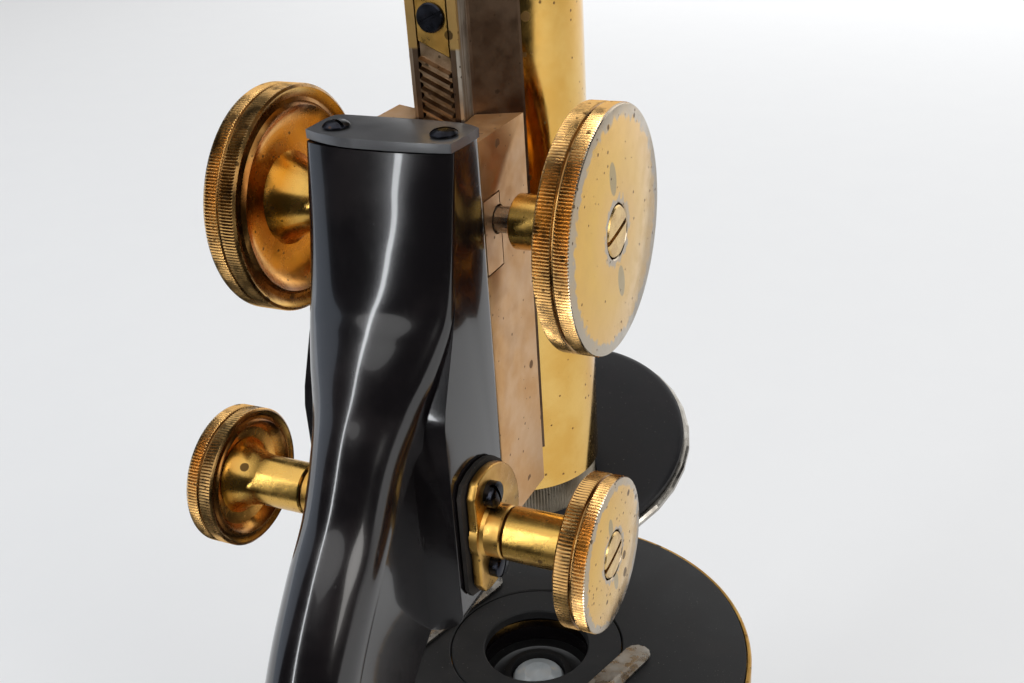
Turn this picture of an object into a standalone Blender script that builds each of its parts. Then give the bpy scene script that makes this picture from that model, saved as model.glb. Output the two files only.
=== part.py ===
"""Brass and black-lacquer compound microscope on a horseshoe foot.

The stand is built round the optical axis.  +X is the right-hand knob, +Y points from the limb to the
body tube, +Z is up, and the origin lies under the middle of the foot.  Every turned piece is a profile
swept by a Screw modifier, every flat piece is a filled outline, and the limb is a loft along its handle
joined to plates.  Pieces that move hang from an empty on the axis of their joint.
"""

import math

import bmesh
import bpy
from mathutils import Matrix, Vector

MM = 0.001
GAP = 0.3                      # clearance between pieces that touch, mm

# Axes of the stand, mm
COARSE_Y, COARSE_Z = 1.0, 239.0
FINE_Y, FINE_Z = -19.8, 186.5
OPTIC_Y = 31.3
STAGE_Z = 113.3
INCLINE_Y, INCLINE_Z = -37.0, 79.0
MIRROR_Z = 43.0
STAGE_TURN = -16.0             # angle at which the rotating stage is left, degrees

# Foot and pillar, mm
FOOT_HALF_WIDTH, FOOT_HALF_LENGTH, FOOT_THICK = 52.0, 90.7, 13.0
FOOT_SLOT_HALF = 27.0
PILLAR_HALF, PILLAR_DEPTH = 15.0, 12.0
CHEEK_R, LUG_HALF, LUG_R, AXLE_R = 13.0, 7.0, 11.0, 4.0

# Limb, mm
LIMB_HALF, LIMB_FRONT, LIMB_TOP = 14.3, -5.0, 256.6
COLUMN_REAR, COLUMN_BOTTOM = -27.6, 171.5
WEB_HALF = 7.0
CAP_HALF, CAP_THICK = 14.8, 1.6

# Knobs, mm
COARSE_R, COARSE_FACE, COARSE_BACK = 22.0, 35.7, 28.9
FINE_R, FINE_FACE, FINE_BACK = 14.0, 41.4, 35.4
HUB_R, SHAFT_R, FINE_SHAFT_R = 5.05, 2.45, 2.3

# Focusing slides, mm
BLOCK_HALF, BLOCK_REAR, BLOCK_TOP, BLOCK_BOTTOM = 13.0, -4.7, 255.0, 176.0
RACK_PITCH, PINION_TEETH, HELIX = 1.83, 16, math.radians(25.0)
PINION_PITCH_R = RACK_PITCH * PINION_TEETH / (2.0 * math.pi)
RACK_HALF, RACK_BOTTOM, RACK_TOP = 3.0, 181.5, 267.6
BAR_BOTTOM, BAR_TOP = 181.0, 291.0

# Tube, mm
TUBE_R, TUBE_BORE, TUBE_BOTTOM, TUBE_TOP = 17.2, 15.8, 170.0, 305.0
DRAW_R, DRAW_BORE, DRAW_BOTTOM, DRAW_TOP = 14.9, 12.0, 215.0, 323.0

# Nosepiece, mm
NOSE_TILT = math.radians(20.0)
NOSE_Y, NOSE_Z, NOSE_R = 49.4, 162.8, 31.2
SHELL_FOOT = -1.2
OBJECTIVE_SEAT = 8.4
SOCKETS = ((60.0, 10.8, 5.4), (180.0, 11.6, OBJECTIVE_SEAT), (300.0, 11.6, OBJECTIVE_SEAT))
OBJECTIVES = (("objective_low", 180.0, 17.0, 8.6), ("objective_high", 300.0, 31.2, 5.4))

# Stage and substage, mm
STAGE_R, RIM_R, INSERT_R, STAGE_HOLE_R = 51.9, 53.1, 21.3, 13.0
CLIP_X = (-25.0, 23.0)
CONDENSER_R, CONDENSER_TOP_R = 18.4, 12.4
MIRROR_R, FORK_R = 24.0, 27.2


# ---------------------------------------------------------------------------------------- scene tools

def clear_scene():
    """Remove every object that the file opened with."""
    for obj in list(bpy.data.objects):
        bpy.data.objects.remove(obj, do_unlink=True)


def make_collection(name):
    """Return a new collection linked to the scene."""
    collection = bpy.data.collections.new(name)
    bpy.context.scene.collection.children.link(collection)
    return collection


def make_material(name, colour, metallic, roughness, coat=0.0):
    """Return a Principled material."""
    material = bpy.data.materials.new(name)
    material.use_nodes = True
    bsdf = material.node_tree.nodes["Principled BSDF"]
    bsdf.inputs["Base Color"].default_value = (*colour, 1.0)
    bsdf.inputs["Metallic"].default_value = metallic
    bsdf.inputs["Roughness"].default_value = roughness
    bsdf.inputs["Coat Weight"].default_value = coat
    material.diffuse_color = (*colour, 1.0)
    return material


clear_scene()
PARTS = make_collection("microscope")
TOOLS = make_collection("cutters")

LACQUER = make_material("black_lacquer", (0.012, 0.010, 0.012), 0.0, 0.12, 1.0)
MATTE = make_material("matte_black", (0.035, 0.036, 0.037), 0.0, 0.55)
BRASS = make_material("aged_brass", (0.62, 0.40, 0.13), 1.0, 0.32)
BRIGHT = make_material("polished_brass", (0.80, 0.55, 0.20), 1.0, 0.16)
TAN = make_material("satin_brass", (0.70, 0.48, 0.30), 1.0, 0.42)
BLUED = make_material("blued_steel", (0.03, 0.035, 0.05), 1.0, 0.30)
STEEL = make_material("dark_steel", (0.20, 0.17, 0.14), 1.0, 0.38)
NICKEL = make_material("nickel", (0.55, 0.54, 0.50), 1.0, 0.30)
GLASS = make_material("glass", (0.45, 0.50, 0.55), 0.0, 0.05)
MIRROR = make_material("silvered_glass", (0.85, 0.87, 0.88), 1.0, 0.03)


def frame(name, x, y, z):
    """Return an empty that stands on a joint's axis; its pieces are its children."""
    empty = bpy.data.objects.new(name, None)
    empty.location = Vector((x, y, z)) * MM
    PARTS.objects.link(empty)
    return empty


def add_object(name, mesh, material=None, at=(0.0, 0.0, 0.0), parent=None, turn=None, cutter=False):
    """Link a mesh as an object whose origin is at a world place given in mm."""
    obj = bpy.data.objects.new(name, mesh)
    (TOOLS if cutter else PARTS).objects.link(obj)
    obj.location = Vector(at) * MM
    if parent is not None:
        obj.parent = parent
        obj.location -= parent.location
    if turn is not None:
        obj.rotation_euler = turn
    if cutter:
        obj.hide_render = True
        obj.display_type = "WIRE"
    else:
        mesh.materials.append(material)
    return obj


def mesh_from(bm, name):
    """Turn a bmesh into a mesh."""
    bmesh.ops.recalc_face_normals(bm, faces=bm.faces)
    mesh = bpy.data.meshes.new(name)
    bm.to_mesh(mesh)
    bm.free()
    return mesh


def shade(obj, angle=35.0):
    """Shade a mesh smooth with sharp edges over an angle."""
    obj.data.shade_smooth()
    obj.data.set_sharp_from_angle(angle=math.radians(angle))


def bevel(obj, width, segments=2, angle=40.0):
    """Round the edges sharper than an angle."""
    modifier = obj.modifiers.new("rounded edges", "BEVEL")
    modifier.width = width * MM
    modifier.segments = segments
    modifier.limit_method = "ANGLE"
    modifier.angle_limit = math.radians(angle)
    return modifier


def boolean(obj, other, operation="DIFFERENCE"):
    """Cut, join or trim an object with a cutter."""
    modifier = obj.modifiers.new(other.name, "BOOLEAN")
    modifier.operation = operation
    modifier.solver = "EXACT"
    modifier.object = other
    return modifier


# ---------------------------------------------------------------------------------------- shape tools

def box_mesh(name, low, high):
    """Return a box between two corners given in mm."""
    bm = bmesh.new()
    bmesh.ops.create_cube(bm, size=1.0)
    low, high = Vector(low) * MM, Vector(high) * MM
    for vert in bm.verts:
        vert.co = Vector((low[i] + (vert.co[i] + 0.5) * (high[i] - low[i]) for i in range(3)))
    return mesh_from(bm, name)


def cylinder_mesh(name, radius, length, axis="Z", segments=24, middle=(0.0, 0.0, 0.0)):
    """Return a closed cylinder along an axis, its middle at a place in mm."""
    bm = bmesh.new()
    bmesh.ops.create_cone(bm, cap_ends=True, segments=segments, radius1=radius * MM,
                          radius2=radius * MM, depth=length * MM)
    turns = {"X": Matrix.Rotation(math.pi / 2, 3, "Y"), "Y": Matrix.Rotation(math.pi / 2, 3, "X"),
             "Z": Matrix.Identity(3)}
    bmesh.ops.rotate(bm, verts=bm.verts, matrix=turns[axis])
    bmesh.ops.translate(bm, verts=bm.verts, vec=Vector(middle) * MM)
    return mesh_from(bm, name)


def turned(name, profile, material, at, parent=None, turn=None, steps=32, closed=True, cutter=False):
    """Return a turned piece: (radius, height) pairs in mm, down the outer side, about its own Z."""
    bm = bmesh.new()
    verts = [bm.verts.new((r * MM, 0.0, h * MM)) for r, h in profile]
    for a, b in zip(verts, verts[1:]):
        bm.edges.new((a, b))
    if closed:
        bm.edges.new((verts[-1], verts[0]))
    mesh = bpy.data.meshes.new(name)
    bm.to_mesh(mesh)
    bm.free()
    obj = add_object(name, mesh, material, at, parent, turn, cutter)
    screw = obj.modifiers.new("turn", "SCREW")
    screw.steps = screw.render_steps = steps
    screw.use_merge_vertices = True
    screw.merge_threshold = 0.00001
    screw.use_smooth_shade = True
    return obj


def corners_only(outline):
    """Drop the points of a closed outline that lie on a straight run."""
    kept = []
    for i, (a, b) in enumerate(outline):
        (p, q), (u, v) = outline[i - 1], outline[(i + 1) % len(outline)]
        if abs((a - p) * (v - b) - (b - q) * (u - a)) > 1e-6:
            kept.append((a, b))
    return kept


def plate_mesh(name, outline, low, high, axis="Z"):
    """Return a filled outline as a plate between two heights along an axis, in mm.

    The outline is given as (x, y) for Z, (y, z) for X and (x, z) for Y.
    """
    curve = bpy.data.curves.new(name, "CURVE")
    curve.dimensions = "2D"
    curve.fill_mode = "BOTH"
    curve.extrude = 0.5 * (high - low) * MM
    curve.resolution_u = 1
    outline = corners_only(outline)
    spline = curve.splines.new("POLY")
    spline.points.add(len(outline) - 1)
    for point, (a, b) in zip(spline.points, outline):
        point.co = (a * MM, b * MM, 0.0, 1.0)
    spline.use_cyclic_u = True
    carrier = bpy.data.objects.new(name, curve)
    TOOLS.objects.link(carrier)
    bpy.context.view_layer.update()
    evaluated = carrier.evaluated_get(bpy.context.evaluated_depsgraph_get())
    mesh = bpy.data.meshes.new_from_object(evaluated)
    bpy.data.objects.remove(carrier, do_unlink=True)
    bpy.data.curves.remove(curve)
    bm = bmesh.new()
    bm.from_mesh(mesh)
    bpy.data.meshes.remove(mesh)
    bmesh.ops.remove_doubles(bm, verts=bm.verts, dist=0.000005)
    bmesh.ops.dissolve_limit(bm, angle_limit=0.0005, verts=bm.verts, edges=bm.edges)
    middle = 0.5 * (low + high) * MM
    for vert in bm.verts:
        a, b, c = vert.co.x, vert.co.y, vert.co.z + middle
        vert.co = {"Z": (a, b, c), "X": (c, a, b), "Y": (a, c, b)}[axis]
    return mesh_from(bm, name)


def arc(cx, cy, radius, start, end, count):
    """Return points along an arc, angles in degrees."""
    return [(cx + radius * math.cos(math.radians(start + (end - start) * i / count)),
             cy + radius * math.sin(math.radians(start + (end - start) * i / count)))
            for i in range(count + 1)]


def mirrored(points):
    """Return an outline closed by its own mirror image in the first coordinate."""
    return points + [(-a, b) for a, b in reversed(points) if abs(a) > 1e-9]


def smooth_path(points, count):
    """Return points of equal parameter steps on a Catmull-Rom curve through given ones."""
    ends = [tuple(2 * a - b for a, b in zip(points[0], points[1]))]
    tail = [tuple(2 * a - b for a, b in zip(points[-1], points[-2]))]
    ring = ends + [tuple(p) for p in points] + tail
    result = []
    for i in range(count + 1):
        t = i / count * (len(points) - 1)
        k = min(int(t), len(points) - 2)
        f = t - k
        p0, p1, p2, p3 = ring[k:k + 4]
        result.append(tuple(
            0.5 * (2 * b + (c - a) * f + (2 * a - 5 * b + 4 * c - d) * f * f
                   + (3 * b - a - 3 * c + d) * f ** 3)
            for a, b, c, d in zip(p0, p1, p2, p3)))
    return result


# ------------------------------------------------------------------------------------- foot and pillar

def build_base():
    """Horseshoe foot with its toes under the tube, and the forked pillar."""
    half = arc(0.0, -16.0, 1.0, -90.0, 0.0, 9)
    half = [(FOOT_HALF_WIDTH * x, -16.0 + (FOOT_HALF_LENGTH - 16.0) * (y + 16.0)) for x, y in half]
    toe = arc(FOOT_SLOT_HALF + 11.0, FOOT_HALF_LENGTH - 11.0, 11.0, 0.0, 180.0, 8)
    slot = arc(0.0, 4.0, FOOT_SLOT_HALF, 0.0, -90.0, 6)
    outline = mirrored(half + toe + slot)
    foot = add_object("horseshoe_foot", plate_mesh("horseshoe_foot", outline, 0.0, FOOT_THICK), LACQUER)
    bevel(foot, 1.8)

    y, z = INCLINE_Y, INCLINE_Z
    side = [(y + PILLAR_DEPTH + 1.5, FOOT_THICK + 3.0), (y + PILLAR_DEPTH - 1.0, 34.0),
            (y + PILLAR_DEPTH, 56.0)] + arc(y, z, CHEEK_R, -10.0, 190.0, 12)
    side += [(y - PILLAR_DEPTH, 56.0), (y - PILLAR_DEPTH + 1.0, 34.0),
             (y - PILLAR_DEPTH - 1.5, FOOT_THICK + 3.0)]
    pillar = add_object("pillar", plate_mesh("pillar", side, -PILLAR_HALF, PILLAR_HALF, "X"), LACQUER)
    flange = turned("pillar_flange", [(0.0, 21.0), (16.5, 21.0), (18.0, 17.5), (22.5, 16.0),
                                      (22.5, FOOT_THICK + GAP), (0.0, FOOT_THICK + GAP)],
                    None, (0.0, y, 0.0), steps=28, closed=False, cutter=True)
    boolean(pillar, flange, "UNION")
    slot = add_object("pillar_slot", box_mesh("pillar_slot", (-LUG_HALF - 0.4, y - 30, z - CHEEK_R),
                                              (LUG_HALF + 0.4, y + 30, z + 30)), cutter=True)
    boolean(pillar, slot)
    bore = add_object("pillar_bore", cylinder_mesh("pillar_bore", AXLE_R + GAP, 60, "X",
                                                   middle=(0, y, z)), cutter=True)
    boolean(pillar, bore)


# ------------------------------------------------------------------------------------------------ limb

# Stations of the handle: (y, z, half width, bulge, depth forward) where the round back ends
HANDLE = (
    (-15.5, 256.6, 14.3, 2.9, 6.0), (-16.8, 249.0, 14.3, 3.6, 6.0), (-18.3, 240.0, 14.3, 4.4, 6.0),
    (-20.2, 231.0, 14.2, 5.6, 6.0), (-22.4, 225.0, 13.6, 6.9, 6.0), (-25.4, 218.5, 12.2, 8.0, 6.0),
    (-28.6, 212.0, 10.4, 8.5, 5.0), (-32.6, 206.0, 9.0, 8.5, 3.0), (-38.9, 195.6, 8.3, 8.3, 1.0),
    (-46.3, 186.7, 8.3, 8.3, 1.0), (-54.2, 175.7, 8.3, 8.3, 1.0), (-60.5, 163.0, 8.3, 8.3, 1.0),
    (-63.6, 149.5, 8.3, 8.3, 1.0), (-63.9, 136.0, 8.3, 8.3, 1.0), (-61.4, 122.5, 8.3, 8.3, 1.0),
    (-56.4, 110.5, 8.3, 8.0, 1.0), (-50.6, 101.0, 7.8, 7.0, 1.0), (-45.8, 94.0, 6.7, 5.4, 1.0),
)


def handle_mesh():
    """Loft the round-backed handle: half ellipses along a curve, closed by a flat front."""
    stations = smooth_path(HANDLE, 24)
    bm = bmesh.new()
    rings = []
    for i, (y, z, half, bulge, depth) in enumerate(stations):
        before, after = stations[max(i - 1, 0)], stations[min(i + 1, len(stations) - 1)]
        along = Vector((0.0, after[0] - before[0], after[1] - before[1])).normalized()
        back = Vector((0.0, along.z, -along.y))
        if i < 2:
            back = Vector((0.0, -1.0, 0.0))
        centre = Vector((0.0, y, z))
        ring = [centre + Vector((half * math.cos(a), 0, 0)) + back * bulge * math.sin(a)
                for a in (math.pi * k / 10 for k in range(11))]
        ring += [centre - back * depth - Vector((half, 0, 0)), centre - back * depth
                 + Vector((half, 0, 0))]
        rings.append([bm.verts.new(p * MM) for p in ring])
    for lower, upper in zip(rings, rings[1:]):
        for k in range(len(lower)):
            n = (k + 1) % len(lower)
            bm.faces.new((lower[k], lower[n], upper[n], upper[k]))
    bm.faces.new(rings[0])
    bm.faces.new(reversed(rings[-1]))
    return mesh_from(bm, "handle")


def cap_outline(half, front, rear, bulge, corner, count=5):
    """D-shaped plan of the limb's top: flat front with round corners, bowed back."""
    chord = Vector((half, bulge))
    radius = (chord.x ** 2 + chord.y ** 2) / (2 * chord.y)
    sweep = math.degrees(math.asin(half / radius))
    back = arc(0.0, rear - bulge + radius, radius, -90.0, -90.0 + sweep, count)
    return mirrored(back + arc(half - corner, front - corner * 0.75, corner, 0.0, 90.0, 4))


def build_limb(limb):
    """Limb casting: housing, column, web, handle and lug, hollow behind the focusing block."""
    corner = 3.2
    plan = mirrored([(0.0, -45.0), (LIMB_HALF, -45.0)]
                    + arc(LIMB_HALF - corner, LIMB_FRONT - corner, corner, 0.0, 90.0, 4)
                    + [(0.0, LIMB_FRONT)])
    body = add_object("limb", plate_mesh("limb", plan, 150.0, LIMB_TOP), LACQUER)
    rear = [(10.0, 280.0), (-15.5, 280.0), (-15.5, LIMB_TOP), (-16.8, 249.0), (-18.3, 240.0),
            (-20.2, 231.0), (-22.0, 226.0), (-24.9, 219.0), (-26.8, 214.5), (COLUMN_REAR, 211.0),
            (COLUMN_REAR, 140.0), (10.0, 140.0)]
    side = add_object("limb_side", plate_mesh("limb_side", rear, -40.0, 40.0, "X"), cutter=True)
    boolean(body, side, "INTERSECT")
    low = [(LIMB_HALF + 3.0, 270.0), (LIMB_HALF + 3.0, COLUMN_BOTTOM)]
    low += [(x * LIMB_HALF, COLUMN_BOTTOM - 6.5 * y) for x, y in
            arc(0.0, 0.0, 1.0, 0.0, 90.0, 6)]
    end = add_object("limb_end", plate_mesh("limb_end", mirrored(low), -60.0, 20.0, "Y"), cutter=True)
    boolean(body, end, "INTERSECT")
    handle = add_object("limb_handle", handle_mesh(), cutter=True)
    boolean(body, handle, "UNION")

    spine = smooth_path([(s[0], s[1]) for s in HANDLE[6:]], 20)
    inner = smooth_path([(-27.4, 166.0), (-30.2, 163.8), (-35.6, 159.4), (-43.5, 149.5), (-48.6, 138.0),
                         (-49.8, 127.0), (-47.2, 117.0), (-41.0, 110.6), (-33.0, 108.6)], 16)
    web = [(-24.0, 211.0), (-24.0, 168.0)] + inner + [(-23.3, 108.6), (-23.3, 88.0)]
    web += arc(INCLINE_Y, INCLINE_Z, LUG_R, 25.0, -205.0, 14) + [(-46.4, 91.5)]
    web += [(y, z) for y, z in reversed(spine)]
    web_body = add_object("limb_web", plate_mesh("limb_web", web, -WEB_HALF, WEB_HALF, "X"),
                          cutter=True)
    boolean(body, web_body, "UNION")
    seat = add_object("limb_seat", box_mesh("limb_seat", (-12.0, -33.0, 94.0), (12.0, -23.2, 108.3)),
                      cutter=True)
    boolean(body, seat, "UNION")

    cavity = add_object("limb_cavity", box_mesh("limb_cavity", (-6.6, -17.6, 192.2),
                                                (6.6, 0.0, 251.0)), cutter=True)
    boolean(body, cavity)
    chamber = add_object("cam_chamber", cylinder_mesh("cam_chamber", 6.4, 13.0, "X",
                                                      middle=(0, FINE_Y, FINE_Z)), cutter=True)
    boolean(body, chamber)
    fine_bore = add_object("fine_bore", cylinder_mesh("fine_bore", FINE_SHAFT_R + GAP, 60, "X", 20,
                                                      (0, FINE_Y, FINE_Z)), cutter=True)
    boolean(body, fine_bore)
    lug_bore = add_object("lug_bore", cylinder_mesh("lug_bore", AXLE_R + GAP, 40, "X",
                                                    middle=(0, INCLINE_Y, INCLINE_Z)), cutter=True)
    boolean(body, lug_bore)
    body.parent = limb
    body.location = -limb.location

    cap_z = LIMB_TOP + GAP
    cap = add_object("limb_cap", plate_mesh(
        "limb_cap", cap_outline(CAP_HALF, LIMB_FRONT - 0.3, -15.5, 2.9, 4.0), cap_z,
        cap_z + CAP_THICK), LACQUER, parent=limb)
    bevel(cap, 0.35)
    for side_name, sign in (("left", -1), ("right", 1)):
        slotted_screw("cap_screw_" + side_name, 2.4, 1.1, 0.6, (0.8 + sign * 10.4, -13.2,
                      cap_z + CAP_THICK + GAP), (0.0, 0.0, 0.5 * sign), limb)
        flange_set(side_name, sign, limb)

    axle = [(0.0, 20.2), (AXLE_R, 20.2), (AXLE_R, -15.4), (8.0, -15.4), (8.0, -19.0), (7.0, -20.2),
            (0.0, -20.2)]
    turned("incline_axle", axle, STEEL, (0.0, INCLINE_Y, INCLINE_Z), limb, (0.0, math.pi / 2, 0.0),
           24, closed=False)


def slotted_screw(name, radius, height, slot, at, turn, parent, material=BLUED, steps=14):
    """A cheese-head screw, its head's foot at a place and its slot across the head."""
    head = turned(name, [(0.0, height), (radius - 0.3, height), (radius, height - 0.3), (radius, 0.0),
                         (0.0, 0.0)], material, at, parent, turn, steps, closed=False)
    cutter = add_object(name + "_slot", box_mesh(name + "_slot", (-radius * 2, -slot / 2, height * 0.5),
                                                 (radius * 2, slot / 2, height * 2)), at=at,
                        parent=parent, turn=turn, cutter=True)
    boolean(head, cutter)
    return head


def flange_set(side_name, sign, limb):
    """Gasket, flange with its boss, and two screws that carry one end of the fine shaft."""
    def rounded(radius, chord, corner):
        angle = math.degrees(math.acos(-chord / radius))
        points = arc(0.0, 0.0, radius, -angle + corner, angle - corner, 16)
        top = math.sqrt(radius ** 2 - chord ** 2) - radius * math.radians(corner)
        return points + [(-chord, top), (-chord, -top)]

    def lay(mesh):
        mesh.transform(Matrix.Translation(Vector((0.0, FINE_Y, FINE_Z)) * MM))
        return mesh

    near = LIMB_HALF + GAP
    spans = [sorted((sign * near, sign * (near + 0.8))), sorted((sign * (near + 1.1),
             sign * (near + 2.9)))]
    gasket = add_object("gasket_" + side_name, lay(plate_mesh(
        "gasket", rounded(13.2, 6.7, 6.0), *spans[0], "X")), MATTE, parent=limb)
    flange = add_object("fine_flange_" + side_name, lay(plate_mesh(
        "flange", rounded(12.4, 5.4, 8.0), *spans[1], "X")), BRASS, parent=limb)
    ends = sorted((sign * (near + 1.1), sign * 21.3))
    boss = add_object("boss_" + side_name, cylinder_mesh(
        "boss", HUB_R, ends[1] - ends[0], "X", 24, (0.5 * (ends[0] + ends[1]), FINE_Y, FINE_Z)),
        parent=limb, cutter=True)
    bore = add_object("flange_bore_" + side_name, cylinder_mesh(
        "bore", FINE_SHAFT_R + GAP, 30, "X", 20, (sign * 18.0, FINE_Y, FINE_Z)), parent=limb,
        cutter=True)
    boolean(flange, boss, "UNION")
    for piece in (gasket, flange):
        boolean(piece, bore)
    for level, lift in (("upper", 7.7), ("lower", -7.7)):
        slotted_screw("flange_screw_%s_%s" % (level, side_name), 2.5, 2.2, 0.6,
                      (sign * (near + 2.9 + GAP), FINE_Y, FINE_Z + lift),
                      (0.0, sign * math.pi / 2, 0.0), limb, steps=12)


# --------------------------------------------------------------------------------------- turned knobs

def knob_profile(radius, face, back, hub_end, bore, seat_r):
    """Profile of a focusing knob: flat face, broad rim, dished back and bell-shaped hub."""
    wide = face - back
    s = radius / COARSE_R
    dish = face - 3.9 * (wide / 6.8)
    outside = [
        (seat_r, face - 2.4), (seat_r, face), (radius - 0.4, face), (radius, face - 0.4),
        (radius, back + 0.5 * s), (radius - 0.7 * s, back), (radius * 0.88, back + 0.9 * s),
        (radius * 0.82, back + 0.2), (radius * 0.62, dish), (HUB_R + 4.1 * s, dish - 0.1),
        (HUB_R + 2.3 * s, dish - 2.4 * s), (HUB_R + 0.8 * s, dish - 5.4 * s), (HUB_R, dish - 9.0 * s),
        (HUB_R, hub_end), (bore, hub_end), (bore, face - 2.4)]
    return outside


def build_knobs(drive, kind, radius, face, back, hub_end, shaft_r, y, z, screw_r):
    """A pair of knobs and the screws that hold them on one shaft."""
    for side_name, sign in (("left", -1), ("right", 1)):
        turn = (0.0, sign * math.pi / 2, 0.0)
        turned("%s_knob_%s" % (kind, side_name),
               knob_profile(radius, face, back, hub_end, shaft_r + GAP, screw_r + GAP), BRASS,
               (0.0, y, z), drive, turn, 32 if radius > 20 else 24)
        slotted_screw("%s_knob_screw_%s" % (kind, side_name), screw_r, 2.2, 0.9,
                      (sign * (face - 2.4 + GAP), y, z), turn, drive, BRASS, 16)


def build_fine(drive):
    """Fine-focus cross shaft with its cam drum and knobs."""
    end = FINE_FACE - 2.4 - GAP
    profile = [(0.0, end), (FINE_SHAFT_R, end), (FINE_SHAFT_R, 5.5), (5.0, 5.5), (5.0, -5.5),
               (FINE_SHAFT_R, -5.5), (FINE_SHAFT_R, -end), (0.0, -end)]
    turned("fine_shaft", profile, STEEL, (0.0, FINE_Y, FINE_Z), drive, (0.0, math.pi / 2, 0.0), 24,
           closed=False)
    build_knobs(drive, "fine", FINE_R, FINE_FACE, FINE_BACK, 21.7, FINE_SHAFT_R, FINE_Y, FINE_Z, 4.2)


# ------------------------------------------------------------------------------------- focusing slides

def build_block(block):
    """Satin brass block that the fine screw lifts, grooved in front for the rack bar."""
    y, z = COARSE_Y, COARSE_Z
    half = [(0.0, BLOCK_REAR), (BLOCK_HALF, BLOCK_REAR), (BLOCK_HALF, y + 13.0), (4.75, y + 9.7),
            (5.4, y + 4.0), (0.0, y + 4.0)]
    body = add_object("slide_block", plate_mesh("slide_block", mirrored(half), BLOCK_BOTTOM,
                                                BLOCK_TOP), TAN, parent=block)
    tongue = add_object("block_tongue", box_mesh("block_tongue", (-6.2, -17.0, 193.8),
                                                 (6.2, BLOCK_REAR + 1.0, 249.0)), parent=block,
                        cutter=True)
    boolean(body, tongue, "UNION")
    chamber = add_object("pinion_chamber", cylinder_mesh("pinion_chamber", 5.5, 7.2, "X", 28,
                                                         (0, y, z)), parent=block, cutter=True)
    bore = add_object("pinion_bore", cylinder_mesh("pinion_bore", SHAFT_R + GAP, 40, "X", 24,
                                                   (0, y, z)), parent=block, cutter=True)
    boolean(body, chamber)
    boolean(body, bore)
    for side_name, sign in (("left", -1), ("right", 1)):
        def span(a, b, low, high, rear, front):
            return ((min(sign * a, sign * b), rear, low), (max(sign * a, sign * b), front, high))
        pocket = add_object("plate_pocket_" + side_name, box_mesh(
            "plate_pocket", *span(11.0, 14.0, z - 9.2, z + 5.2, BLOCK_REAR - 1, y + 1.1)),
            parent=block, cutter=True)
        boolean(body, pocket)
        plate = add_object("pinion_plate_" + side_name, box_mesh(
            "pinion_plate", *span(11.3, BLOCK_HALF, z - 8.9, z + 4.9, BLOCK_REAR + 0.2, y + 0.8)),
            TAN, parent=block)
        boolean(plate, bore)


def helical_gear_mesh(name):
    """Pinion teeth: trapezoids round a disc, each slice turned on by the helix."""
    bm = bmesh.new()
    slices, face = 4, 2.9
    rings = []
    for k in range(slices + 1):
        x = -face + 2 * face * k / slices
        lead = -x * math.tan(HELIX) / PINION_PITCH_R
        ring = []
        for tooth in range(PINION_TEETH):
            middle = math.pi / 2 + (tooth + 0.5) * 2 * math.pi / PINION_TEETH
            for offset, radius in ((-0.29, 4.02), (-0.11, 5.02), (0.11, 5.02), (0.29, 4.02)):
                a = middle + offset * 2 * math.pi / PINION_TEETH - math.pi / 2 + lead
                ring.append(bm.verts.new(Vector((x, radius * math.cos(a), radius * math.sin(a))) * MM))
        rings.append(ring)
    for lower, upper in zip(rings, rings[1:]):
        for i in range(len(lower)):
            j = (i + 1) % len(lower)
            bm.faces.new((lower[i], lower[j], upper[j], upper[i]))
    bm.faces.new(reversed(rings[0]))
    bm.faces.new(rings[-1])
    return mesh_from(bm, name)


def rack_outline(low, high):
    """Side view of the toothed strip, (y, z): teeth on the rear, a tooth level with the pinion."""
    y = COARSE_Y
    root, tip, front = y + 5.45, y + 4.28, y + 6.6
    first = math.ceil((low + 1.2 - COARSE_Z) / RACK_PITCH)
    last = math.floor((high - 1.2 - COARSE_Z) / RACK_PITCH)
    points = [(front, low), (root, low)]
    for k in range(first, last + 1):
        z = COARSE_Z + k * RACK_PITCH
        points += [(root, z - 0.27 * RACK_PITCH), (tip, z - 0.12 * RACK_PITCH),
                   (tip, z + 0.12 * RACK_PITCH), (root, z + 0.27 * RACK_PITCH)]
    return points + [(root, high), (front, high)]


def sheared(mesh):
    """Slope a strip's cross lines to the helix angle."""
    for vert in mesh.vertices:
        vert.co.z -= vert.co.x * math.tan(HELIX)
    return mesh


def build_coarse(drive):
    """Coarse-focus pinion with its knobs."""
    at = (0.0, COARSE_Y, COARSE_Z)
    gear = add_object("coarse_pinion", helical_gear_mesh("coarse_pinion"), STEEL, at, drive)
    end = COARSE_FACE - 2.4 - GAP
    shaft = add_object("pinion_shaft", cylinder_mesh("pinion_shaft", SHAFT_R, 2 * end, "X", 24),
                       at=at, parent=drive, cutter=True)
    boolean(gear, shaft, "UNION")
    build_knobs(drive, "coarse", COARSE_R, COARSE_FACE, COARSE_BACK, 16.9, SHAFT_R, COARSE_Y,
                COARSE_Z, 4.6)


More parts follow.
